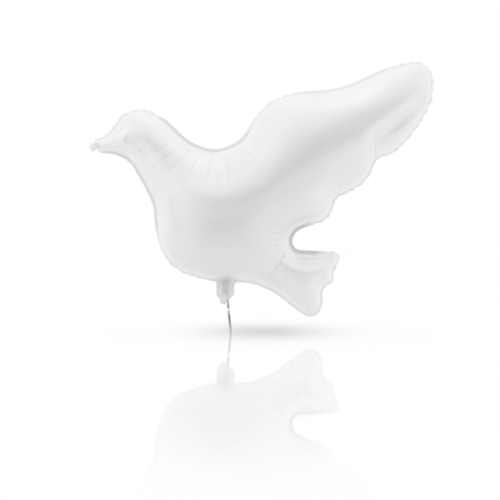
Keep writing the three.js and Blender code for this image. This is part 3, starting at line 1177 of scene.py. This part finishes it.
@dataclass
class Studio:
    """The camera, the pale floor and the soft lights."""

    picture: int = 500
    pixel: float = 700 * MM / 343
    aim: tuple[float, float, float] = (50.3 * MM, 0.0, 95.9 * MM)
    lens: float = 120.0
    sensor: float = 36.0
    elevation: float = math.radians(2.4)
    softboxes: tuple[Softbox, ...] = (
        Softbox("key", (-1.9, -1.2, 1.2), 1.4, 1.2),
        Softbox("top", (0.07, 0.0, 1.9), 1.2, 0.6),
    )
    floor_z: float = -73.6 * MM
    floor_reach: float = 4.0
    floor_colour: Colour = rgb(0.2, 0.2, 0.2)
    backdrop: float = 1.0
    bright: float = 1.0
    dim: float = 0.4
    dim_way: tuple[float, float, float] = (0.12, -1.0, -0.35)
    dim_from: float = 0.35
    mirror: float = 0.37
    mirror_from: float = -1.85
    mirror_to: float = -1.15
    mirror_roughness: float = 0.035
    glow: float = 0.80
    shade: float = 0.45
    shade_size: Place = (0.085 * 2**0.5, 0.12 * 2**0.5)
    shade_place: Place = (0.082, 0.03)
    dusk: float = 0.72
    dusk_size: Place = (0.5, 0.62)
    dusk_place: Place = (-0.12, -0.85)

    def place_camera(self) -> None:
        """Places the camera where the photograph was taken from."""
        data = bpy.data.cameras.new("camera")
        data.lens = self.lens
        data.sensor_width = self.sensor
        data.clip_end = 50.0
        camera = bpy.data.objects.new("camera", data)
        distance = self.picture * self.pixel * self.lens / self.sensor
        back = Vector((0.0, -math.cos(self.elevation), math.sin(self.elevation)))
        camera.location = Vector(self.aim) + back * distance
        camera.rotation_mode = "QUATERNION"
        camera.rotation_quaternion = (-back).to_track_quat("-Z", "Y")
        bpy.context.scene.collection.objects.link(camera)
        bpy.context.scene.camera = camera
        LOG.info("camera: %.2f m away", distance)

    def light(self) -> None:
        """Sets the lights and the world."""
        bpy.context.scene.view_settings.view_transform = "Standard"
        self._world()
        for softbox in self.softboxes:
            softbox.hang()

    def _world(self) -> None:
        """A white backdrop all round, dimmer in front of the bird, where the camera stands."""
        world = bpy.data.worlds.new("studio")
        bpy.context.scene.world = world
        world.use_nodes = True
        graph = Graph(world.node_tree)
        ground = world.node_tree.nodes["Background"]
        way = graph.node("ShaderNodeTexCoord").outputs["Generated"]
        ways = {0: way, 1: tuple(Vector(self.dim_way).normalized())}
        facing = graph.value("ShaderNodeVectorMath", {"operation": "DOT_PRODUCT"}, ways, "Value")
        strength = graph.eased(facing, self.dim_from, 1.0, self.bright, self.dim)
        seen = graph.value("ShaderNodeLightPath", None, None, "Is Camera Ray")
        graph.feed(ground.inputs["Strength"], strength + seen * (self.backdrop - strength))
        graph.feed(ground.inputs["Color"], rgb(1.0, 1.0, 1.0))

    def build_floor(self) -> bpy.types.Object:
        """Lays the white floor, which mirrors the bird faintly, fades out towards the camera and has a
        painted shadow under the bird.

        Returns:
            The floor.
        """
        corners = np.array([(-1, -1, 0), (1, -1, 0), (1, 1, 0), (-1, 1, 0)]) * self.floor_reach
        floor = new_object("studio_floor", corners + (0, 0, self.floor_z), [(0, 1, 2, 3)])
        sheet = Surface("studio_floor")
        x, y, _ = sheet.parts(sheet.place)
        mirror = sheet.eased(y, self.mirror_from, self.mirror_to, 0.0, self.mirror)
        # Painted shadow: a soft dark patch under the bird, seen by the camera only.
        shade = self._patch(x, y, self.shade_place, self.shade_size) * self.shade
        dusk = self._patch(x, y, self.dusk_place, self.dusk_size) * self.dusk
        seen = sheet.value("ShaderNodeLightPath", None, None, "Is Camera Ray")
        sheet.dress(
            Base_Color=self.floor_colour,
            Specular_IOR_Level=0.0,
            Roughness=1.0,
            Emission_Color=(self.glow - shade * seen) * (1 - (1 - seen) * dusk),
            Emission_Strength=1.0,
        )
        clear = {"Color": rgb(1.0, 1.0, 1.0), "Roughness": self.mirror_roughness}
        gloss = sheet.node("ShaderNodeBsdfGlossy", None, clear)
        shaders = {0: mirror, 1: sheet.shader.outputs[0], 2: gloss.outputs[0]}
        mixed = sheet.node("ShaderNodeMixShader", None, shaders).outputs[0]
        sheet.feed(sheet.tree.nodes["Material Output"].inputs["Surface"], mixed)
        floor.data.materials.append(sheet.material)
        return floor

    @staticmethod
    def _patch(x: Value, y: Value, place: Place, size: Place) -> Value:
        """A soft round patch on the floor, 1 in its middle."""
        return (x - place[0]).bell(size[0]) * (y - place[1]).bell(size[1])


@dataclass
class Ribbon:
    """The flat silver ribbon that hangs from behind the tab."""

    route: tuple[tuple[float, float, float], ...] = (
        (3.2, 1.75, 14), (4.2, 1.75, 3), (5, 1.75, -9), (6.4, 2.9, -27), (8.6, 2, -49), (11, 1, -73.5),
    )
    width: float = 5 * MM
    thickness: float = 0.3 * MM
    exit: tuple[float, float, float] = (5 * MM, 1.75 * MM, -9 * MM)
    lean: float = 0.25
    lean_growth: float = 0.004
    twist_z: float = -27.0
    twist_reach: float = 1.1

    def path(self, count: int) -> np.ndarray:
        """Follows the route's smooth curve.

        Args:
            count: How many places to give.

        Returns:
            The places, evenly spaced.
        """
        here = np.array(self.route, float) * MM
        padded = np.vstack([2 * here[0] - here[1], here, 2 * here[-1] - here[-2]])
        spans = [padded[k:len(padded) - 3 + k] for k in range(4)]
        curve = np.vstack([curved(spans, 3, 20), here[-1]])
        along = np.concatenate([[0.0], np.cumsum(np.linalg.norm(np.diff(curve, axis=0), axis=1))])
        wanted = np.linspace(0, along[-1], count)
        return np.stack([np.interp(wanted, along, column) for column in curve.T], 1)

    def build(self) -> bpy.types.Object:
        """Sweeps the ribbon along its path, with its half turn.

        Returns:
            The ribbon.
        """
        line = self.path(90)
        guide = new_object("ribbon_path", line, loop=False)
        z = line[:, 2] / MM
        twist = math.pi / (1 + np.exp((z - self.twist_z) / self.twist_reach))
        give(guide, "turn", self.lean + self.lean_growth * z + twist)
        give(guide, "front", np.tile((0.0, -1.0, 0.0), (len(line), 1)))
        growth = Growth("ribbon_sweep")
        width = growth.size("Width", self.width)
        thickness = growth.size("Thickness", self.thickness)
        turned = {0: growth.track("front"), "Tilt": growth.stored("turn")}
        tilted = growth.node("GeometryNodeSetCurveTilt", None, turned).outputs[0]
        across = growth.parts(growth.place)[1] / width + 0.5
        profile = growth.keep(growth.section(thickness, width, 3), "across", across)
        sweep = {"Curve": tilted, "Profile Curve": profile, "Fill Caps": True}
        swept = growth.node("GeometryNodeCurveToMesh", None, sweep)
        growth.end(swept.outputs[0], SilverRibbon().material())
        piece = growth.grow(guide, "silver_ribbon")
        face_outwards(piece)
        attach(piece, BODY)
        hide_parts("ribbon")
        path = self.path(28)
        return piece


@dataclass
class InflatedFilm:
    """The two sheets of film inside the weld line, inflated, with their creases."""

    seam: Seam
    half_depth: float
    fullness: float = 0.68
    slack_gather: float = 0.06
    taut_gather: float = 0.02
    scallop_nip: float = 0.7 * MM
    scallop_sway: float = 1.4 * MM
    pressure: float = 5.0
    frames: int = 20
    unevenness: float = 0.3 * MM
    even_beyond: float = 2000 * MM**2
    chance_seed: int = 11
    fit_reach: float = 10 * MM
    crease_fade: float = 5 * MM
    crease_bow: float = 0.02
    refine_reach: float = 4.0 * MM
    calm_beak: Place = (-0.235, -0.2)
    calmness: float = 0.8
    calm_rounds: int = 6
    fold_fade: float = 6 * MM
    plane: PlaneMesh = field(init=False)
    depth: np.ndarray = field(init=False)
    station: np.ndarray = field(init=False)
    places: np.ndarray = field(init=False)

    def build(self) -> bpy.types.Object:
        """Makes the sheets, inflates them, fits them to the outline and dresses them.

        Returns:
            The film's piece.
        """
        points, triangles = triangulated(self.seam.weld, self.seam.step)
        self.plane = PlaneMesh(points, triangles)
        weld = self.seam.weld
        away = np.array([((weld - place) ** 2).sum(1) for place in points])
        self.station = away.argmin(1)
        self.depth = np.sqrt(away.min(1))
        self._start()
        smooth = self.places.copy()
        self._inflate()
        self._fit()
        self._calm(smooth)
        self._fold()
        return self._dress()

    def _start(self) -> None:
        """Places both sheets on the smooth inflated form, barely uneven close to the weld."""
        plane, count = self.plane, len(self.seam.weld)
        held = np.arange(len(plane.points)) < count
        swell = np.maximum(plane.solve(4 * plane.load, held, np.zeros(len(held))), 0)
        chance = np.random.default_rng(self.chance_seed)
        sheets = []
        for side in (-1, 1):
            rough = chance.normal(0, self.unevenness, len(swell)) * np.exp(-swell / self.even_beyond) * ~held
            depth = side * self.fullness * np.sqrt(swell) + rough
            sheets.append(np.column_stack([plane.points[:, 0], depth, plane.points[:, 1]]))
        self.places = np.stack(sheets)

    def _inflate(self) -> None:
        """Runs the film as cloth under pressure, drawn up along the weld as a heat seal draws it."""
        count, total = len(self.seam.weld), len(self.plane.points)
        faces = two_sided(self.plane.triangles, count, total)
        film = new_object("film_under_pressure", np.vstack([self.places[0], self.places[1][count:]]), faces)
        gather = film.vertex_groups.new(name="gather")
        for number, slack in enumerate(self.seam.slack):
            drawn = self.taut_gather + (self.slack_gather - self.taut_gather) * slack
            gather.add([number], float(drawn / self.slack_gather), "REPLACE")
        cloth = film.modifiers.new("pressure", "CLOTH")
        settings = cloth.settings
        settings.quality = 6
        settings.mass = 0.05
        settings.air_damping = 5.0
        settings.tension_stiffness = settings.compression_stiffness = settings.shear_stiffness = 40.0
        settings.bending_stiffness = 0.05
        settings.vertex_group_shrink = gather.name
        settings.shrink_min = 0.0
        settings.shrink_max = self.slack_gather
        settings.use_pressure = True
        settings.uniform_pressure_force = self.pressure
        settings.effector_weights.gravity = 0.0
        cloth.collision_settings.use_collision = False
        cloth.point_cache.frame_start = 1
        cloth.point_cache.frame_end = self.frames
        for number in range(1, self.frames + 1):
            bpy.context.scene.frame_set(number)
        evaluated = film.evaluated_get(bpy.context.evaluated_depsgraph_get())
        moved = np.empty(3 * len(film.data.vertices), np.float32)
        evaluated.data.vertices.foreach_get("co", moved)
        moved = moved.reshape(-1, 3).astype(float)
        self.places = np.stack([moved[:total], np.vstack([moved[:count], moved[total:]])])
        bpy.data.objects.remove(film)
        bpy.context.scene.frame_set(1)
        LOG.info("film inflated: half depth %.1f mm", np.abs(moved[:, 1]).max() / MM)

    def _fit(self) -> None:
        """Moves the sheets so that the weld keeps to the outline and the body to its depth."""
        count = len(self.seam.weld)
        edge = self.places[0][:count][:, [0, 2]]
        miss = blurred(self.seam.weld - edge, self.fit_reach / self.seam.step)
        LOG.info("weld off the outline by up to %.1f mm", np.linalg.norm(miss, axis=1).max() / MM)
        turn = np.sin(self.seam.phase())
        nip = self.scallop_nip * self.seam.slack * np.cos(2 * self.seam.phase())
        miss += inward(self.seam.weld) * nip[:, None]
        sway = self.scallop_sway * self.seam.slack * turn
        self.places[:, :, 1] *= self.half_depth / np.abs(self.places[:, :, 1]).max()
        held = np.arange(len(self.plane.points)) < count
        for axis, shift in ((0, miss[:, 0]), (2, miss[:, 1]), (1, sway)):
            values = np.zeros(len(held))
            values[:count] = shift
            self.places[:, :, axis] += self.plane.solve(np.zeros(len(held)), held, values)

    def _calm(self, smooth: np.ndarray) -> None:
        """Evens out the crumples, and keeps the narrow beak on the smooth form.

        Args:
            smooth: The places of both sheets before they were inflated.
        """
        start, end = self.calm_beak
        share = np.clip((self.plane.points[:, 0] - start) / (end - start), 0, 1)[:, None]
        share = share * share * (3 - 2 * share)
        for side in (0, 1):
            moved = self.places[side] - smooth[side]
            moved += self.calmness * (self.plane.evened(moved, self.calm_rounds) - moved)
            self.places[side] = smooth[side] + moved * share

    def _fold(self) -> None:
        """Presses the broad folds into the front sheet."""
        inset = 1 - np.exp(-(self.depth / self.fold_fade) ** 2)
        for one in FOLDS:
            gap = gap_to(np.array(one.path) * (self.seam.length / 1000), self.plane.points)
            self.places[0][:, 1] += one.depth * np.exp(-((gap / one.width) ** 2)) * inset

    def _dress(self) -> bpy.types.Object:
        """Makes the film's piece: smoothed, creased and in its finish.

        Returns:
            The film's piece.
        """
        count, total = len(self.seam.weld), len(self.plane.points)
        faces = two_sided(self.plane.triangles, count, total)
        guide = new_object("film_sheets", np.vstack([self.places[0], self.places[1][count:]]), faces)
        gathers = self.seam.gathers[self.station]
        for name, values in (("depth", self.depth), ("gathers", gathers)):
            give(guide, name, np.concatenate([values, values[count:]]))
        self._lay_stations(guide.data, faces)
        self._keep_edge_sharp(guide.data)
        smoother = guide.modifiers.new("smooth", "SUBSURF")
        smoother.levels = smoother.render_levels = 1
        guide = applied(guide, "film_smoothed")
        self._refine(guide.data)
        film = self._press_creases(guide)
        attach(film, BODY)
        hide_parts("foil_envelope")
        return film

    def _press_creases(self, guide: bpy.types.Object) -> bpy.types.Object:
        """Presses the creases into the front sheet and dresses both sheets.

        Args:
            guide: The smoothed sheets, which are removed.

        Returns:
            The film, with its creases.
        """
        creases = self._crease_guide()
        growth = Growth("film_creases")
        source = {"Object": growth.size("Creases", creases, "NodeSocketObject")}
        lines = growth.node("GeometryNodeObjectInfo", None, source).outputs["Geometry"]
        fade = growth.size("Fade", self.crease_fade)
        x, y, z = growth.parts(growth.place)
        flat = growth.node("ShaderNodeCombineXYZ", None, {0: x, 2: z}).outputs[0]
        close = {0: lines, "Sample Position": flat}
        nearest = growth.node("GeometryNodeSampleNearest", {"domain": "POINT"}, close).outputs[0]

        def sampled(kept: object, kind: str = "FLOAT") -> Value:
            """A value of the crease point that is nearest."""
            inputs = {0: lines, "Value": kept, "Index": nearest}
            return growth.value("GeometryNodeSampleIndex", {"data_type": kind, "domain": "POINT"}, inputs)

        ends = {0: flat, 1: sampled(growth.place, "FLOAT_VECTOR")}
        gap = growth.value("ShaderNodeVectorMath", {"operation": "DISTANCE"}, ends, "Value")
        depth = sampled(growth.stored("crease_depth"))
        width = sampled(growth.stored("crease_width"))
        inset = (growth.stored("depth") / fade).math("MINIMUM", 1.0)
        line = gap.bell(width) * inset * y.math("LESS_THAN", 0.0)
        normal = growth.node("GeometryNodeInputNormal").outputs[0]
        push = {0: normal, "Scale": -(depth * line)}
        offset = growth.node("ShaderNodeVectorMath", {"operation": "SCALE"}, push).outputs[0]
        moved = growth.node("GeometryNodeSetPosition", None, {0: growth.guide, "Offset": offset})
        # Each crease's depth is kept here for the film's painted shade along the creases.
        marked = growth.keep(moved.outputs[0], "crease", line * depth / MM)
        growth.end(marked, PearlFoil().material(self.seam.length))
        film = growth.grow(guide, "foil_film")
        bpy.data.objects.remove(creases)
        return film

    def _lay_stations(self, mesh: bpy.types.Mesh, faces: np.ndarray) -> None:
        """Stores how far along the weld each corner lies, as a map that doesn't jump where it closes.

        Args:
            mesh: The film's mesh.
            faces: Its triangles.
        """
        length = perimeter(self.seam.weld)
        station = np.concatenate([self.station, self.station[len(self.seam.weld):]])
        arc = station[faces] * length / len(self.seam.weld)
        arc = np.where(arc.max(1)[:, None] - arc > length / 2, arc + length, arc)
        layer = mesh.uv_layers.new(name="weld")
        values = np.stack([arc.ravel(), np.zeros(arc.size)], 1)
        layer.data.foreach_set("uv", values.astype(np.float32).ravel())

    def _refine(self, mesh: bpy.types.Mesh) -> None:
        """Divides the faces that a crease runs through.

        Args:
            mesh: The film's mesh.
        """
        work = bmesh.new()
        work.from_mesh(mesh)
        scale = self.seam.length / 1000
        places = np.array([vertex.co[:] for vertex in work.verts])
        front, places = places[:, 1] < 0, places[:, [0, 2]]
        near = np.zeros(len(places), bool)
        for one in CREASES:
            near |= gap_to(np.array((one.start, one.end)) * scale, places) < self.refine_reach
        near &= front
        edges = [edge for edge in work.edges if near[edge.verts[0].index] and near[edge.verts[1].index]]
        bmesh.ops.subdivide_edges(work, edges=edges, cuts=2, smooth=0.6, use_grid_fill=True)
        bmesh.ops.triangulate(work, faces=[face for face in work.faces if len(face.verts) > 4])
        work.to_mesh(mesh)
        work.free()

    def _keep_edge_sharp(self, mesh: bpy.types.Mesh) -> None:
        """Creases the weld's edges, so that the smoothing leaves them in place.

        Args:
            mesh: The film's mesh, whose first points are those of the weld.
        """
        count = len(self.seam.weld)
        ends = np.empty(2 * len(mesh.edges), np.int32)
        mesh.edges.foreach_get("vertices", ends)
        ends = ends.reshape(-1, 2)
        gap = np.abs(ends[:, 0] - ends[:, 1])
        on_weld = (ends < count).all(1) & ((gap == 1) | (gap == count - 1))
        held = mesh.attributes.new("crease_edge", "FLOAT", "EDGE")
        held.data.foreach_set("value", on_weld.astype(np.float32))
        sharp = mesh.attributes.new("sharp_edge", "BOOLEAN", "EDGE")
        sharp.data.foreach_set("value", on_weld)

    def _crease_guide(self) -> bpy.types.Object:
        """Lays the creases out as points in the seam plane, each with its depth and width.

        Returns:
            An object with one point for each millimetre of crease.
        """
        places, depths, widths = [], [], []
        scale = self.seam.length / 1000
        for one in CREASES:
            start, end = np.array(one.start) * scale, np.array(one.end) * scale
            count = max(2, round(float(np.linalg.norm(end - start)) / MM))
            for share in np.linspace(0, 1, count):
                aside = np.array([start[1] - end[1], end[0] - start[0]])
                bow = self.crease_bow * math.sin(math.pi * share) * aside
                place = start + share * (end - start) + bow
                places.append((place[0], 0.0, place[1]))
                depths.append(one.depth * math.sqrt(1 - share) * min(1.0, 0.2 + 4 * share))
                widths.append(one.width * (0.8 + 0.6 * share))
        guide = new_object("crease_lines", np.array(places))
        give(guide, "crease_depth", np.array(depths))
        give(guide, "crease_width", np.array(widths))
        return guide


@dataclass
class WeldRim:
    """The welded edge round the film."""

    seam: Seam
    film: InflatedFilm
    finish: bpy.types.Material
    thickness: float = 0.5 * MM
    overlap: float = 0.25 * MM
    lean: float = 0.3
    sway: float = 0.3
    scallop: float = 0.8
    scallop_bluntness: float = 0.6
    scallop_middle: float = 0.75
    closeness: int = 4
    level_ease: float = 0.2
    lean_spread: float = 0.8

    def build(self) -> bpy.types.Object:
        """Sweeps the rim along the film's own edge.

        Returns:
            The rim.
        """
        seam, count = self.seam, len(self.seam.weld)
        edge = refined(self.film.places[0][:count], self.closeness)
        outward = refined(seam.outer - seam.weld, self.closeness)
        slack, flatness = refined(np.column_stack([seam.slack, seam.flatness]), self.closeness).T
        turn = np.sin(seam.phase(self.closeness))
        ruffle = np.abs(turn) ** self.scallop_bluntness - self.scallop_middle
        reach = np.linalg.norm(outward, axis=1) * (1 + self.scallop * slack * ruffle)
        outward = unit(outward)
        turned_back = np.tan(seam.rim_turn * np.clip(1 - flatness, 0, 1))
        lean = refined(self._lean(), self.closeness) + turned_back + self.sway * slack * turn
        guide = new_object("rim_path", edge, loop=True)
        give(guide, "outward", np.column_stack([outward[:, 0], lean, outward[:, 1]]))
        give(guide, "reach", reach * np.sqrt(1 + lean**2) / seam.width)
        give(guide, "flatness", flatness)
        growth = Growth("rim_sweep")
        width = growth.size("Width", seam.width)
        thickness = growth.size("Thickness", self.thickness)
        overlap = growth.size("Overlap", self.overlap)
        section = growth.section(width + overlap, thickness, 2)
        shift = growth.node("ShaderNodeCombineXYZ", None, {0: (width - overlap) * 0.5}).outputs[0]
        placed = growth.node("GeometryNodeTransform", None, {0: section, "Translation": shift})
        profile = growth.keep(placed.outputs[0], "across", growth.parts(growth.place)[0] / width)
        reach = growth.stored("reach")
        sweep = {"Curve": growth.track("outward"), "Profile Curve": profile, "Scale": reach}
        swept = growth.node("GeometryNodeCurveToMesh", None, sweep)
        growth.end(swept.outputs[0], self.finish)
        rim = growth.grow(guide, "weld_rim")
        face_outwards(rim)
        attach(rim, BODY)
        return rim

    def _lean(self) -> np.ndarray:
        """Works out how far the rim leans, from the way in which the two sheets meet it.

        Returns:
            The lean at each place of the weld, positive backwards.
        """
        count = len(self.seam.weld)
        inner = np.zeros((2, count, 3))
        for side in (0, 1):
            sheet = self.film.places[side]
            for a, b in ((0, 1), (1, 2), (2, 0), (1, 0), (2, 1), (0, 2)):
                ends = self.film.plane.triangles[:, [a, b]]
                ends = ends[(ends[:, 0] < count) & (ends[:, 1] >= count)]
                np.add.at(inner[side], ends[:, 0], unit(sheet[ends[:, 1]] - sheet[ends[:, 0]]))
        inward_way = unit(inner[0]) + unit(inner[1])
        level = np.linalg.norm(inward_way[:, [0, 2]], axis=1) + self.level_ease
        return np.clip(blurred(-inward_way[:, 1] / level, self.lean_spread), -self.lean, self.lean)


@dataclass
class BeakBead:
    """The small round bead of film at the end of the beak."""

    finish: bpy.types.Material
    middle: tuple[float, float, float] = (-269.6 * MM, 0.0, 305.7 * MM)
    reach: tuple[float, float, float] = (7.9 * MM, 4.0 * MM, 9.6 * MM)
    flatness: float = 0.3
    pinch: float = 0.12
    pinch_place: float = 0.75
    pinch_width: float = 0.3
    unevenness: float = 0.02
    rings: int = 24
    spokes: int = 40

    def build(self) -> bpy.types.Object:
        """Makes the bead, slightly pinched towards the beak.

        Returns:
            The bead.
        """
        around = np.linspace(0, 2 * math.pi, self.spokes, endpoint=False)
        up = np.linspace(0, math.pi, self.rings + 1)[1:-1]
        a, b = np.meshgrid(around, up)
        x, y, z = np.cos(a) * np.sin(b), np.sin(a) * np.sin(b), np.cos(b)
        pinch = 1 - self.pinch * np.exp(-((x - self.pinch_place) / self.pinch_width) ** 2)
        pinch += self.unevenness * np.sin(5 * z + 3 * a)
        rows = np.stack([x, y * pinch, z * pinch], -1).reshape(-1, 3)
        rows = np.vstack([rows, (0, 0, 1), (0, 0, -1)])
        count = len(rows) - 2
        numbers = np.arange(count).reshape(self.rings - 1, self.spokes)
        after = np.roll(numbers, -1, 1)
        quads = np.stack([numbers[:-1], after[:-1], after[1:], numbers[1:]], -1).reshape(-1, 4).tolist()
        caps = [(count, j, i) for i, j in zip(numbers[0].tolist(), after[0].tolist())]
        caps += [(count + 1, i, j) for i, j in zip(numbers[-1].tolist(), after[-1].tolist())]
        bead = new_object("beak_bead", rows * self.reach + self.middle, quads + caps)
        # How flat the bead counts as, which sets how much painted shade and painted glow the weld's material
        # gives it.
        give(bead, "flatness", np.full(count + 2, self.flatness))
        surface(bead, self.finish)
        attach(bead, BODY)
        return bead


@dataclass
class FillTab:
    """The flat tab below the belly, with its valve inside."""

    seam: Seam
    width: float = 36.5 * MM
    thickness: float = 2.2 * MM
    fillet: float = 6 * MM
    shoulder: float = 9 * MM
    spout_width: float = 14.5 * MM
    spout_length: float = 11 * MM
    spout_offset: float = -4 * MM
    seam_overlap: float = 1.4
    left_pull: Place = (-0.94, 0.1)
    right_pull: Place = (0.9, 0.0)
    right_bend: tuple[float, float] = (-1.5, 1.3)
    border: float = 3 * MM
    step: float = 1.3 * MM
    welded_share: float = 0.12
    loose_share: float = 0.16
    loose_bulge: float = 0.35
    valve_bulge: float = 0.78
    bulge_ease: float = 1.5 * MM
    ripple: float = 0.12
    valve_width: float = 13 * MM
    valve_foot: float = 4 * MM
    valve_gap: float = 0.3 * MM
    valve_thickness: float = 1.2 * MM
    valve_weld: float = 1.6 * MM
    valve_edge: float = 0.35
    valve_sway: float = 0.08 * MM
    valve_grid: tuple[int, int] = (14, 30)
    belly_top: float = 80 * MM

    def belly(self, x: float) -> float:
        """Finds the outer edge below the belly.

        Args:
            x: Where to look.

        Returns:
            The edge's height there.
        """
        outer = self.seam.outer
        low = outer[outer[:, 1] < self.belly_top]
        order = np.argsort(low[:, 0])
        return float(np.interp(x, low[order, 0], low[order, 1]))

    def outline(self) -> np.ndarray:
        """Draws the tab's edge, from inside the belly's seam round the spout.

        Returns:
            The places on the edge, anticlockwise.
        """
        side, flare = self.width / 2, self.width / 2 + self.fillet
        left, right = self.belly(-flare), self.belly(flare)
        top = max(left, right) + self.seam_overlap * self.seam.width
        half = self.shoulder / 2
        left_pull, right_pull = ((x * side, z * half) for x, z in (self.left_pull, self.right_pull))
        low, high = (share * half for share in self.right_bend)
        spout_left = self.spout_offset - self.spout_width / 2
        spout_right = self.spout_offset + self.spout_width / 2
        round_ = min(self.spout_width / 2, self.spout_length)
        end = -half - self.spout_length
        turn = np.linspace(0, math.pi / 2, 9)
        line = [(-flare, top), (-flare, left)]
        line += [
            (-flare + self.fillet * math.sin(a), left - self.fillet + self.fillet * math.cos(a))
            for a in turn[1:]
        ]
        line += self._bow((-side, half), left_pull, (spout_left, -half))
        sweep = np.linspace(math.pi, 2 * math.pi, 15)
        line += [
            (self.spout_offset + self.spout_width / 2 * math.cos(a), end + round_ + round_ * math.sin(a))
            for a in sweep
        ]
        line += self._bow((spout_right, low), right_pull, (side, high))
        line += [
            (flare - self.fillet * math.cos(a), right - self.fillet + self.fillet * math.sin(a)) for a in turn
        ]
        line += [(flare, top)]
        loop = np.array(line)
        return resampled(loop, round(perimeter(loop) / self.step))

    @staticmethod
    def _bow(start: Place, pull: Place, end: Place) -> list[Place]:
        """Draws a bend.

        Args:
            start: Where it starts.
            pull: The place that it is drawn towards.
            end: Where it ends.

        Returns:
            The places along it.
        """
        first, drawn, last = np.array(start), np.array(pull), np.array(end)
        shares = np.linspace(0, 1, 9)
        return [tuple((1 - t) ** 2 * first + 2 * t * (1 - t) * drawn + t**2 * last) for t in shares]

    def build(self) -> list[bpy.types.Object]:
        """Makes the tab's two plies and the valve between them."""
        return [self._film(), self._valve()]

    def _film(self) -> bpy.types.Object:
        """Makes the two plies, welded at the border and bulging over the valve.

        Returns:
            The tab.
        """
        outline = self.outline()
        points, triangles = triangulated(outline, self.step)
        loop = len(outline)
        away = np.sqrt(np.array([((points[:loop] - place) ** 2).sum(1).min() for place in points]))
        inside = np.clip((away - self.border * 0.5) / self.border, 0, 1)
        inside = inside * inside * (3 - 2 * inside)
        ease = self.bulge_ease
        across = np.clip((self.valve_width / 2 + ease - np.abs(points[:, 0])) / ease, 0, 1)
        upward = np.clip((points[:, 1] - self.valve_foot + ease) / ease, 0, 1)
        bulge = np.maximum(self.loose_bulge * inside, self.valve_bulge * np.minimum(across, upward))
        ripple = self.ripple * inside * np.sin(points[:, 0] * 900 + 2 * np.sin(points[:, 1] * 300))
        share = np.clip(self.loose_share + bulge + ripple * (1 - bulge), self.welded_share, 1.0)
        share[:loop] = self.welded_share
        half = self.thickness / 2 * share
        count = len(points)
        sheets = [np.column_stack([points[:, 0], side * half, points[:, 1]]) for side in (-1, 1)]
        edge = np.arange(loop)
        after = np.roll(edge, -1)
        rim = np.vstack([
            np.stack([edge, edge + count, after + count], 1),
            np.stack([edge, after + count, after], 1),
        ])
        faces = np.vstack([triangles, triangles[:, ::-1] + count, rim])
        tab = new_object("tab_film", np.vstack(sheets), faces)
        surface(tab, TabFilm().material())
        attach(tab, BODY)
        return tab

    def _valve(self) -> bpy.types.Object:
        """Makes the flat sleeve of the valve, with its welded sides.

        Returns:
            The sleeve.
        """
        top = self.belly(0.0) + self.seam.width - 2 * self.valve_gap
        height = top - self.valve_foot
        columns, rows = self.valve_grid
        xs = np.linspace(-0.5, 0.5, columns) * self.valve_width
        zs = self.valve_foot + np.linspace(0, 1, rows) * height
        x, z = np.meshgrid(xs, zs)
        sides = np.clip((self.valve_width / 2 - np.abs(x)) / self.valve_weld, 0, 1)
        half = self.valve_thickness / 2 * (self.valve_edge + (1 - self.valve_edge) * np.sqrt(sides))
        sway = self.valve_sway * np.sin(z * 420)
        count = x.size
        sheets = [np.column_stack([x.ravel(), (side * half + sway).ravel(), z.ravel()]) for side in (-1, 1)]
        numbers = np.arange(count).reshape(rows, columns)
        corners = (numbers[:-1, :-1], numbers[:-1, 1:], numbers[1:, 1:], numbers[1:, :-1])
        quads = np.stack(corners, -1).reshape(-1, 4)
        border = np.concatenate([numbers[0, :], numbers[1:, -1], numbers[-1, -2::-1], numbers[-2:0:-1, 0]])
        after = np.roll(border, -1)
        rim = np.stack([border, border + count, after + count, after], 1)
        faces = np.vstack([quads, quads[:, ::-1] + count, rim])
        valve = new_object("valve_sleeve", np.vstack(sheets), faces)
        surface(valve, ValveFilm().material())
        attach(valve, BODY)
        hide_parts("fill_valve")
        return valve


def main() -> None:
    """Builds the camera, the ribbon, the studio and then the balloon."""
    logging.basicConfig(level=logging.INFO, format="%(name)s: %(message)s")
    studio = Studio()
    studio.place_camera()
    pieces = [Ribbon().build()]
    studio.light()
    studio.build_floor()
    low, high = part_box("foil_envelope")
    seam = Seam(length=(high[0] - low[0]) / OUTLINE_SPAN)
    film = InflatedFilm(seam, half_depth=high[1])
    pieces.append(film.build())
    welded = WeldedFilm().material()
    pieces += [WeldRim(seam, film, welded).build(), BeakBead(welded).build(), *FillTab(seam).build()]
    for piece in pieces:
        LOG.info("%s: %d faces", piece.name, len(piece.data.polygons))


if __name__ == "__main__":
    main()
